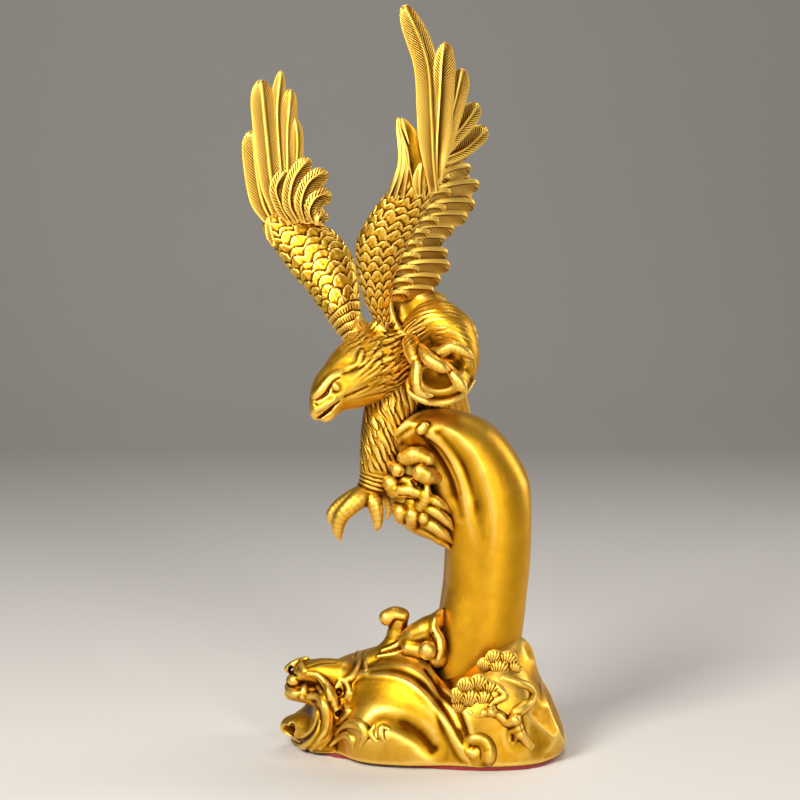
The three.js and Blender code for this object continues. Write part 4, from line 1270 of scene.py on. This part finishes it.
def build_body():
    """Body, neck and head, with tufts of plumage."""
    clay = Clay((-66, -44, 166), (30, 30, 236), 0.5)
    body_mass(clay)
    # shoulders
    clay.add(sweep([(-30, 4, 198), (-34, 6, 206), (-38, 10, 213)], [(7, 6), (7.5, 7), (7, 7)]), 4)
    clay.add(sweep([(-18, -4, 204), (-21, -8, 211), (-24, -12, 216)], [(6, 6), (5.6, 6), (4.5, 5)]), 4)
    # the saddle behind the near shoulder
    clay.add(oval(sight(-4, 215, -2), (17, 12, 15)), 3)
    strand(clay, [(-13, 226, 0), (-4, 229, 0), (4, 227, 0)], [(6, 9), (5, 9), (4, 8)], 4)
    groove(clay, [(-13, 230), (-7, 223), (-1, 217), (4, 211)], [4.4, 5.6, 5.6, 4], 4.0, 4)
    strand(clay, [(-20.5, 231, -14), (-19.6, 221, -13), (-16, 213.6, -14), (-10.5, 208, -17)],
           [1.4, 1.7, 1.7, 1.2], 1.5)
    # beak
    strand(clay, [(-55.4, 178.6, -27), (-56.6, 174, -28), (-57.5, 170.4, -28), (-57.2, 168.2, -28)],
           [(3.8, 4.6), (3.1, 4.0), (2.2, 3.0), (1.1, 1.6)], 1.6)
    strand(clay, [(-46.5, 175, -24), (-49.2, 170, -26), (-51.6, 167.7, -27), (-53.2, 167.4, -27)],
           [(3.4, 5), (2.2, 4.2), (1.5, 3.2), (0.8, 1.6)], 1.6)
    mouth = [(-56, 168), (-53.6, 169.6), (-51, 171.6), (-48.4, 174), (-45.2, 176.8)]
    groove(clay, mouth, [(0.7, 2.2), (1.0, 2.8), (1.1, 2.8), (0.8, 2.0), (0.4, 0.8)], 0.2, 0.5)
    hook(clay, [(-57.4, 172), (-54.5, 173.4), (-51, 175.6), (-47.6, 178)], [0.6, 0.9, 0.9, 0.5], -0.2, 1.2)
    groove(clay, [(-57.6, 175.4), (-56.8, 174.8)], [(0.7, 0.9), (0.6, 0.8)], 0.3, 0.3)
    # eye: a smooth disc under a slanted brow
    socket = clay.spot(-47.2, 184.0)
    slant = ((0, 1, 0), 40)
    clay.cut(oval(socket + (0, -0.9, 0), (3.6, 1.7, 3.0), slant), 1.4)
    clay.add(oval(socket + (0.2, 1.5, -0.1), (2.7, 2.0, 2.3), slant), 0.6)
    wedge = [(-57.4, 177.0), (-54.6, 178.6), (-51.8, 181.0), (-50.4, 184.0), (-48.2, 187.0), (-45, 188.8)]
    groove(clay, wedge, [(0.5, 0.6), (0.9, 1.2), (1.2, 1.9), (0.9, 1.5), (0.6, 0.9), (0.4, 0.4)], 0.1, 0.6)
    hook(clay, [(-58, 179.6), (-55, 182), (-52.2, 185.4), (-48.6, 189.2), (-44.4, 191)],
         [0.7, 1.3, 1.5, 1.2, 0.6], -0.4, 2.2)
    # long soft furrows behind the eye
    for path in ([(-43.6, 190.8), (-38.5, 192.8), (-32.5, 194.8)],
                 [(-42.0, 179.0), (-37, 181.0), (-31, 184.2)]):
        groove(clay, path, [0.5, 0.9, 0.5], 0.45, 1.4)
    points, quads = clay.mesh(3)
    normal = normals_of(points, quads)
    spine = list(NECK[::-1]) + [np.array([4, 14, 204]), np.array([7, 34, 196])]
    along, angle, _ = nearest_on(points, spine)
    face = smooth_step((along - 22) / 15)
    round_about = angle / (2 * math.pi) + 0.5
    drift = 0.03 * noise3(points, 9, 4)
    high, cross, _ = tiles(along + 1.4 * noise3(points, 5, 6), round_about + drift, pitch=4.8, count=34,
                           bulge=4.0, seed=3, ragged=0.9)
    tuft = 0.5 * face * (high ** 0.9 - 0.4) - 0.25 * face * cross ** 2
    streak = streaks(along / 9, (round_about + drift) * 78, seed=9)
    fine = (0.16 * smooth_step((along - 14) / 10) + 0.22 * face) * streak
    smooth = smooth_step((points[:, 2] - 214 - 0.25 * (points[:, 0] + 8)) / 4) * (points[:, 0] > -17)
    push = (tuft + fine) * (1 - smooth)
    points = points + normal * push[:, None]
    make_piece("body_plumage", points, quads, "bronze", "eagle_body")


def toe_rings(points, toes, margin, fade, pitch, depth):
    """Shallow rings across the fronts of the toes, as a push along the normals."""
    push = np.zeros(len(points))
    for path, size in toes:
        along, angle, reach = nearest_on(points, sights(*path))
        on = smooth_step((size[0] + margin - reach) / fade) * (0.5 + 0.5 * np.cos(angle))
        push -= depth * on * smooth_step(np.cos(along * 2 * math.pi / pitch))
    return push


def streaks(along, across, seed):
    """Fine strands that run along a surface."""
    return noise3(np.stack([along, across, 0 * along], axis=1), 1, seed)


def build_raised_leg():
    """The raised leg, its clenched toes and the cup of plumage round them."""
    clay = Clay((-18, -52, 168), (32, 10, 238), 0.42)
    thigh = sights((-5, 212, -8), (3, 216.5, -12), (11, 212, -15), (16, 203.5, -16), (17, 194, -15),
                   (14.4, 186, -13))
    clay.add(sweep(thigh, [(10, 12), (11.4, 12), (10.4, 12), (8, 11), (6.8, 10), (5.4, 9)]))
    strand(clay, [(2, 208, -8), (8, 204, -10), (12, 196, -9)], [(9, 10), (9, 9), (7, 8)], 3)
    # the cup under the toes
    clay.add(oval(sight(4.6, 187.6, -20), (15.4, 14, 12.0)), 2)
    clay.cut(oval(sight(4.6, 190.6, -36), (11.4, 10, 8.6)), 1.0)
    clay.cut(oval(sight(14.8, 196, -33), (6.2, 8, 6.6)), 1.0)
    rim = sights((-11, 187, -22), (-10, 181, -26), (-1, 176.5, -31), (9, 176.5, -31), (17.5, 181, -27),
                 (22, 187, -22))
    clay.add(sweep(rim, [0.9, 1.4, 1.7, 1.7, 1.4, 0.8]), 2)
    # the wrist and the toes
    strand(clay, [(-9.5, 206, -24), (-8.5, 202, -30), (-7, 198, -34)], [(4.2, 4), (4.6, 4), (4, 3.4)], 1.4)
    toes = [
        ([(-6.5, 198.5, -34), (-6, 195, -37), (-6.5, 190, -39), (-6.5, 185.5, -40), (-5.5, 182, -40),
          (-2.5, 180, -39.5), (1, 179.5, -38)],
         [2.6, 2.6, 2.5, 2.5, 2.4, 2, 0.8]),
        ([(-4.5, 202.5, -30), (-3, 200.5, -35), (0, 197.5, -39), (4, 195, -41), (6.5, 193.5, -41),
          (9.5, 192.5, -39.5)],
         [3, 3.4, 3.6, 3.3, 2.6, 0.8]),
        ([(1.5, 201, -32), (4.5, 201, -36), (7.5, 202.5, -38), (11, 204, -39), (14.5, 203, -39),
          (18.5, 201, -38), (21.5, 198.5, -36)],
         [2.6, 2.9, 2.8, 2.8, 2.6, 2.3, 0.8]),
        ([(9, 194, -34), (10.5, 192, -36.5), (13, 188.5, -38.5), (15.5, 185, -39), (17.5, 182, -37.5)],
         [2, 2.4, 3, 3.1, 1.6]),
    ]
    for path, size in toes:
        strand(clay, path, size, 0.6)
    strand(clay, [(16, 202, -36), (18, 199, -36.5), (19, 196, -35)], [2.0, 1.8, 0.7], 0.5)
    points, quads = clay.mesh(3)
    normal = normals_of(points, quads)
    # strands of plumage sweep round the cup
    middle = sight(6, 193, -16)
    away = np.hypot(points[:, 0] - middle[0], points[:, 2] - middle[2])
    turn = np.arctan2(points[:, 2] - middle[2], points[:, 0] - middle[0])
    plume = smooth_step((away - 12) / 3) * smooth_step((points[:, 1] + 33) / 3)
    plume = plume * smooth_step((points[:, 2] - 190) / 6)
    bank = 1.2 * noise3(points, 6, 8)
    high, cross, _ = tiles(6 - turn * 17 + bank, (away + 0.25 * points[:, 1] + 0.6 * bank) / 44, pitch=7.5,
                           count=20, bulge=5.5, seed=2, ragged=0.9)
    streak = streaks(turn * 2.2, (away + 0.3 * points[:, 1]) / 0.85, seed=12)
    calm = 0.35 + 0.65 * smooth_step((1 - points[:, 0]) / 8)
    push = plume * calm * (0.55 * (high ** 0.8 - 0.45) - 0.3 * cross ** 2 + 0.22 * streak)
    push += toe_rings(points, toes, margin=1.6, fade=1.0, pitch=2.4, depth=0.045) * (points[:, 1] < -30)
    points = points + normal * push[:, None]
    make_piece("clutching_leg", points, quads, "bronze", "raised_leg")


def build_reaching_leg():
    """The leg that reaches down, with its toes spread."""
    clay = Clay((-54, -16, 102), (0, 20, 200), 0.42)
    shin = sights((-12, 190, -3), (-17, 181, -4), (-21, 171, -5), (-23.6, 160, -6), (-25.4, 149, -6),
                  (-27.4, 139, -5), (-29.6, 131, -4))
    clay.add(sweep(shin, [(13.5, 11), (13, 11), (12, 11), (10.8, 10), (9.6, 9), (7.8, 7.6), (6.8, 6.8)]))
    toes = [
        ([(-31, 131, -5), (-35.4, 127.6, -9), (-40, 123.6, -11), (-44.6, 118.4, -11), (-46.2, 111.4, -10),
          (-45.2, 106.8, -9)],
         [5.6, 5.2, 4.6, 4.0, 2.9, 0.8]),
        ([(-33, 131, -1), (-39.4, 128, 1), (-45.6, 124, 3), (-49.4, 119.6, 3), (-50.2, 115, 3)],
         [4.4, 4.0, 3.5, 2.8, 0.8]),
        ([(-30, 130, -6), (-28, 125.6, -10), (-26.6, 120, -11), (-26.2, 114.4, -10.6), (-27, 111.6, -10)],
         [4.8, 4.2, 3.4, 2.3, 0.7]),
        ([(-28, 132, 0), (-22.8, 129.4, 4), (-20.4, 123.6, 6), (-21.4, 117.6, 6)], [4, 3.2, 2.6, 0.8]),
    ]
    clay.add(oval(sight(-29.6, 131.4, -3), (7.4, 7, 6)), 2)
    for path, size in toes:
        strand(clay, path, size, 1.0)
    points, quads = clay.mesh(3)
    normal = normals_of(points, quads)
    along, angle, reach = nearest_on(points, shin)
    height = points[:, 2]
    plume = smooth_step((height - 141) / 5)
    spiral = angle / (2 * math.pi) + 0.5 + along * 0.012 + 0.02 * noise3(points, 6, 2)
    high, cross, _ = tiles(along + 1.2 * noise3(points, 5, 3), spiral, pitch=7.5, count=17, bulge=6, seed=5,
                           ragged=0.8)
    streak = streaks(along / 10, spiral * 44, seed=21)
    push = plume * (0.6 * (high ** 0.9 - 0.4) - 0.4 * cross ** 2 + 0.3 * streak)
    rings = (1 - plume) * smooth_step((8.6 - reach) / 1.0) * smooth_step((height - 131) / 3)
    push += 0.18 * rings * np.sin(along * 2 * math.pi / 2.3 + 0.8 * np.sin(angle))
    push += toe_rings(points, toes, margin=0.8, fade=0.8, pitch=2.5, depth=0.05) * (height < 131)
    points = points + normal * push[:, None]
    make_piece("landing_leg", points, quads, "bronze", "reaching_leg")


# ---- near wing -------------------------------------------------------------------------------

# the wing's front and rear edges as (x, z, depth), and its half thickness from shoulder to wrist
NEAR_LEAD = [(-17, 203, -3), (-23.2, 212.5, -9), (-29, 220.5, -13), (-33.9, 232.4, -18), (-36.2, 245, -22),
             (-36.0, 255, -26), (-31.2, 266, -29), (-24, 276.6, -32), (-17, 283, -34), (-13.4, 290, -34)]
NEAR_REAR = [(-9, 201, -3), (-17, 209.5, -9), (-20.8, 219, -11), (-20, 231, -14), (-17, 243.6, -17),
             (-12.6, 254, -19), (-7.4, 263.4, -22), (-2.8, 272, -25), (0.8, 280.4, -28), (-3, 289, -31)]
NEAR_THICK = [6, 6, 6.4, 7, 7.6, 8, 7.6, 6.6, 5, 3.4]


def build_near_wing():
    """The wing on the camera's side: a scaled arm, long feathers at its end and flight feathers along it."""
    arm = scaled_arm(sights(*NEAR_LEAD), sights(*NEAR_REAR), NEAR_THICK, pitch=4.6, count=11, bulge=3.2,
                     lift=1.15, seed=11)
    make_piece("near_wing_coverts", *arm, "bronze", "near_wing")
    facing = (0.25, -0.95, 0.05)
    long = [
        # curve as (x, z, depth), half width, ridge's place, roll
        ([(2, 281, -35), (0.5, 297, -38.5), (-0.5, 320, -38), (-2.5, 345, -35), (-13, 372.5, -31)], 6.6, 0.1,
         -8),
        ([(3.5, 285, -34.5), (4.5, 300, -37), (6.5, 333.5, -35), (7.5, 354.5, -32)], 5.4, -0.3, 6),
        ([(4, 288.5, -33), (6, 303.5, -34.5), (12, 325, -32), (16, 341.5, -28)], 5.2, 0.0, 12),
        ([(3.5, 292, -31), (5.5, 302, -32.5), (15, 313.5, -29), (23.5, 324.5, -24)], 5.2, 0.2, 16),
        ([(3, 292, -29), (5, 297, -30.5), (17, 303.5, -26.5), (27.5, 313, -20)], 5.0, 0.3, 18),
    ]
    feathers = []
    for path, wide, rachis, roll in long:
        feathers.append(blade(sights(*path), wide, 2.0, facing, roll, rachis, blunt=0.78, camber=0.08))
    # the covert at the wrist
    path = sights((-5.6, 279, -36), (-5.4, 287, -38), (-4.4, 295.6, -38))
    feathers.append(blade(path, 3.5, 2.0, facing, 0, 0.0, barb=1.3, deep=0.35, blunt=0.35))
    # the smooth web between the thumb and the first long feather, and the web behind it
    path = sights((-7.4, 284, -36), (-7.0, 294, -38), (-8.4, 304, -38.6), (-14.6, 317, -37))
    feathers.append(blade(path, 4.8, 1.8, facing, -6, -0.85, deep=0, camber=-0.16, blunt=0.5))
    path = sights((-5, 279, -31), (-5, 296, -34), (-7.5, 312, -34))
    feathers.append(blade(path, 6.4, 2.2, facing, 8, 0.0, deep=0, blunt=0.5))
    # the thumb's strands
    for x0, x1, x2, depth, wide in ((-21, -14.4, -16.4, -36, 2.5), (-17.6, -12.6, -15.6, -38, 2.3),
                                    (-14, -10.8, -14.2, -38.6, 2.0)):
        path = sights((x0, 278, depth + 2), (x1, 293, depth), (x1 + 0.2, 305, depth), (x2, 317.6, depth + 1))
        feathers.append(blade(path, wide, 2.2, facing, -14, -0.4, deep=0, blunt=0.6, ridge=0.9))
    make_piece("near_wing_primaries", *joined(feathers), "bronze", "near_wing")
    roots = spread(sights((2, 290, -27), (-1.4, 280, -25), (-6, 269, -22), (-11.4, 259, -20),
                          (-16, 249.4, -18), (-19.6, 239, -15), (-21.2, 229, -12)), 11)
    ends = [(18.4, 299.4), (19.8, 291.6), (24.2, 283.6), (22, 273.6), (18.2, 267.4), (11.6, 261.2),
            (6.8, 256.2), (8.6, 249.4), (9.8, 243.4), (5, 236.4), (1.6, 230.4)]
    facing = (0.3, -0.95, 0.05)
    flight, inner = [], []
    for i, (x, z) in enumerate(ends):
        root, tip = roots[i], sight(x, z, -15 + 0.95 * i)
        path = [root, (root + tip) / 2 + (0, -2.0, 1.6), tip]
        flight.append(blade(path, 4.9, 2.0, facing, -38, -0.72, blunt=0.8, barb=1.5, deep=0.5, camber=0.05,
                            ridge=0.9))
        cover = root + (tip - root) * 0.46 + (0, -2.6, -0.6)
        path = [root + (0, -1.4, 0), (root + cover) / 2 + (0, -1.8, 0.8), cover]
        inner.append(blade(path, 4.0, 1.8, facing, -40, -0.6, blunt=0.7, barb=1.5, deep=0.45, camber=0.05,
                           ridge=0.7))
    # a row behind closes the gaps
    behind = []
    for i, (one, other) in enumerate(zip(ends[:-1], ends[1:])):
        tip = sight((one[0] + other[0]) / 2 - 2.5, (one[1] + other[1]) / 2, -10.5 + 0.95 * i)
        root = (roots[i] + roots[i + 1]) / 2 + (0, 3, 0)
        path = [root, (root + tip) / 2 + (0, -1, 0.8), tip]
        behind.append(blade(path, 5.2, 1.8, facing, -8, -0.5, blunt=0.8, barb=1.5, deep=0.4, camber=0.05,
                            ridge=0.5))
    make_piece("near_wing_secondaries", *joined(flight + inner + behind), "bronze", "near_wing")


# ---- far wing --------------------------------------------------------------------------------

# the wing's front and rear edges as (x, z, depth), and its half thickness from shoulder to wrist
FAR_LEAD = [(-36, 201, 4), (-44.9, 210, 8), (-50, 217, 12), (-56, 226, 17), (-62.4, 234, 22),
            (-68.9, 242, 26), (-75.8, 251.6, 30), (-81, 259.5, 33), (-85, 266, 35)]
FAR_REAR = [(-22, 199, 6), (-33, 214, 10), (-35.2, 227, 15), (-36.6, 239, 20), (-39, 249, 25),
            (-44, 257, 30), (-52, 263.6, 34), (-64, 268, 37), (-76, 272, 38)]
FAR_THICK = [6, 7, 7.6, 8, 8, 7.6, 7, 5.6, 4]


def build_far_wing():
    """The wing on the far side: a scaled arm and long feathers at its end."""
    arm = scaled_arm(sights(*FAR_LEAD), sights(*FAR_REAR), FAR_THICK, pitch=4.8, count=9, bulge=3.4,
                     lift=1.25, seed=5, toothed=26)
    make_piece("far_wing_coverts", *arm, "bronze", "far_wing")
    facing = (0.3, -0.95, 0.0)
    long = [
        ([(-77.5, 263.5, 33), (-83, 275, 35.5), (-86.5, 293.5, 38), (-87.5, 311.5, 40)], 6.6, 0.0, -6),
        ([(-74, 265, 34.5), (-78.5, 285, 37.5), (-81, 308.5, 40), (-83.5, 336, 43)], 6.8, 0.0, 2),
        ([(-71.5, 268.5, 37), (-74.5, 298.5, 41), (-75.5, 322, 44), (-73.5, 340.5, 46)], 3.6, 0.0, 8),
        ([(-70.5, 266.5, 36), (-71, 288.5, 40), (-71, 312, 43.5), (-69, 331.5, 46)], 5.0, 0.1, 12),
        ([(-65.5, 268.5, 38), (-68, 285, 41), (-67, 303.5, 43), (-67.5, 317.5, 45)], 4.6, 0.3, 14),
        ([(-69, 265, 29.5), (-73.5, 275, 29), (-75.5, 282.5, 29), (-71, 291, 30.5)], 4.6, -0.3, -10),
        ([(-65.5, 266, 28), (-69, 275, 26.5), (-67, 287, 27), (-59.5, 297.5, 29.5)], 4.9, -0.2, -6),
        ([(-62, 266, 28), (-63, 275, 26.5), (-59.5, 284.5, 27.5), (-51, 291, 30)], 5.1, -0.3, -4),
        ([(-58, 266, 29), (-59, 271.5, 27.5), (-56, 277, 28), (-49, 280, 30.5)], 4.8, -0.3, -2),
        ([(-54, 265, 30), (-55, 266.5, 29), (-54, 268.5, 29.5), (-51, 270, 31)], 3.6, -0.3, -2),
    ]
    feathers = []
    for path, wide, rachis, roll in long:
        feathers.append(blade(sights(*path), wide, 2.2, facing, roll, rachis, barb=1.7, deep=0.55, blunt=0.8,
                              camber=0.12))
    thumb = sights((-77.4, 254, 29), (-79, 262, 30), (-80, 269, 32))
    feathers.append(blade(thumb, 3.2, 2, facing, -10, 0, blunt=0.4))
    make_piece("far_wing_primaries", *joined(feathers), "bronze", "far_wing")


def build_tail():
    """A short fan of feathers."""
    facing = (0, 0.55, 0.83)
    feathers = []
    # seven long feathers; s runs from -0.5 to 0.5 across the fan
    for i in range(7):
        s = i / 6 - 0.5
        tip = (8 + 24 * s, 64 - 14 * abs(s), 150 + 8 * abs(s))
        path = [(2 + 6 * s, 10, 203), (5 + 14 * s, 40, 186), tip]
        roll = -10 * (1 if s > 0 else -1) * min(1, abs(i - 3))
        feathers.append(blade(path, 5.4, 3.0, facing, roll, 0.0, blunt=0.75, camber=0.12))
    # six covers over their roots
    for i in range(6):
        s = i / 5 - 0.5
        tip = (5.6 + 16 * s, 43 - 5 * abs(s), 184 + 2 * abs(s))
        path = [(2 + 6 * s, 11, 205), (4 + 12 * s, 28, 197.5), tip]
        roll = -8 * (1 if s > 0 else -1)
        feathers.append(blade(path, 4.0, 2.4, facing, roll, 0.0, blunt=0.65, camber=0.12))
    make_piece("tail_fan", *joined(feathers), "bronze", "tail")


base_clay = build_base()
build_felt()
column_clay = build_column()
build_scroll()
build_knob()
build_pine()
build_foam()
build_body()
build_raised_leg()
build_reaching_leg()
build_near_wing()
build_far_wing()
build_tail()

# ---- stage -----------------------------------------------------------------------------------


def make_stage():
    """A wide floor that curves up into a wall behind the statuette, in metres."""
    data = bpy.data.meshes.new("floor")
    reach, bend_start, radius, top, steps = 8, 1.2, 0.8, 3.2, 8
    rows = [(-reach, 0), (bend_start, 0)]
    for i in range(1, steps + 1):
        angle = math.pi / 2 * i / steps
        rows.append((bend_start + radius * math.sin(angle), radius - radius * math.cos(angle)))
    rows.append((bend_start + radius, top))
    points = [(x, y, z) for y, z in rows for x in (-reach, reach)]
    faces = [(2 * i, 2 * i + 1, 2 * i + 3, 2 * i + 2) for i in range(len(rows) - 1)]
    data.from_pydata(points, [], faces)
    data.shade_smooth()
    floor = bpy.data.objects.new("floor", data)
    bpy.context.scene.collection.objects.link(floor)
    material, _, shader = new_material("pale_floor")
    shader.inputs["Base Color"].default_value = (0.62, 0.60, 0.58, 1)
    shader.inputs["Roughness"].default_value = 0.7
    data.materials.append(material)


def area_light(name, place, target, size, power, colour):
    data = bpy.data.lights.new(name, "AREA")
    data.shape = "RECTANGLE"
    data.size, data.size_y = size
    data.energy = power
    data.color = colour
    light = bpy.data.objects.new(name, data)
    light.location = place
    way = np.array(target) - np.array(place)
    tilt = math.atan2(math.hypot(way[0], way[1]), -way[2])
    light.rotation_euler = (tilt, 0, math.atan2(way[1], way[0]) - math.pi / 2)
    bpy.context.scene.collection.objects.link(light)


def make_lights():
    """Four soft lights and a dim world."""
    middle = (-0.01, 0, 0.18)
    area_light("key", (-0.62, -0.85, 0.80), middle, (0.42, 0.42), 19, (1, 0.97, 0.91))
    area_light("fill", (0.42, -1.15, 0.44), middle, (0.18, 0.7), 6.5, (1, 0.97, 0.92))
    area_light("top", (0.1, 0.25, 1.2), middle, (0.5, 0.4), 5, (1, 0.98, 0.95))
    area_light("rim", (0.9, 0.30, 0.45), middle, (0.3, 0.6), 3.5, (1, 0.96, 0.9))
    world = bpy.data.worlds.new("studio")
    world.use_nodes = True
    world.node_tree.nodes["Background"].inputs[0].default_value = (0.09, 0.085, 0.08, 1)
    world.node_tree.nodes["Background"].inputs[1].default_value = 0.55
    bpy.context.scene.world = world


make_stage()
make_lights()
bpy.context.scene.view_settings.view_transform = "Standard"

# the CAD nodes that stay in view are metal: the cover plate is brass, and the fixings are steel
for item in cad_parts.values():
    item.data.materials.clear()
    item.data.materials.append(MATERIAL["plate" if item.name == "base_cover_plate" else "steel"])
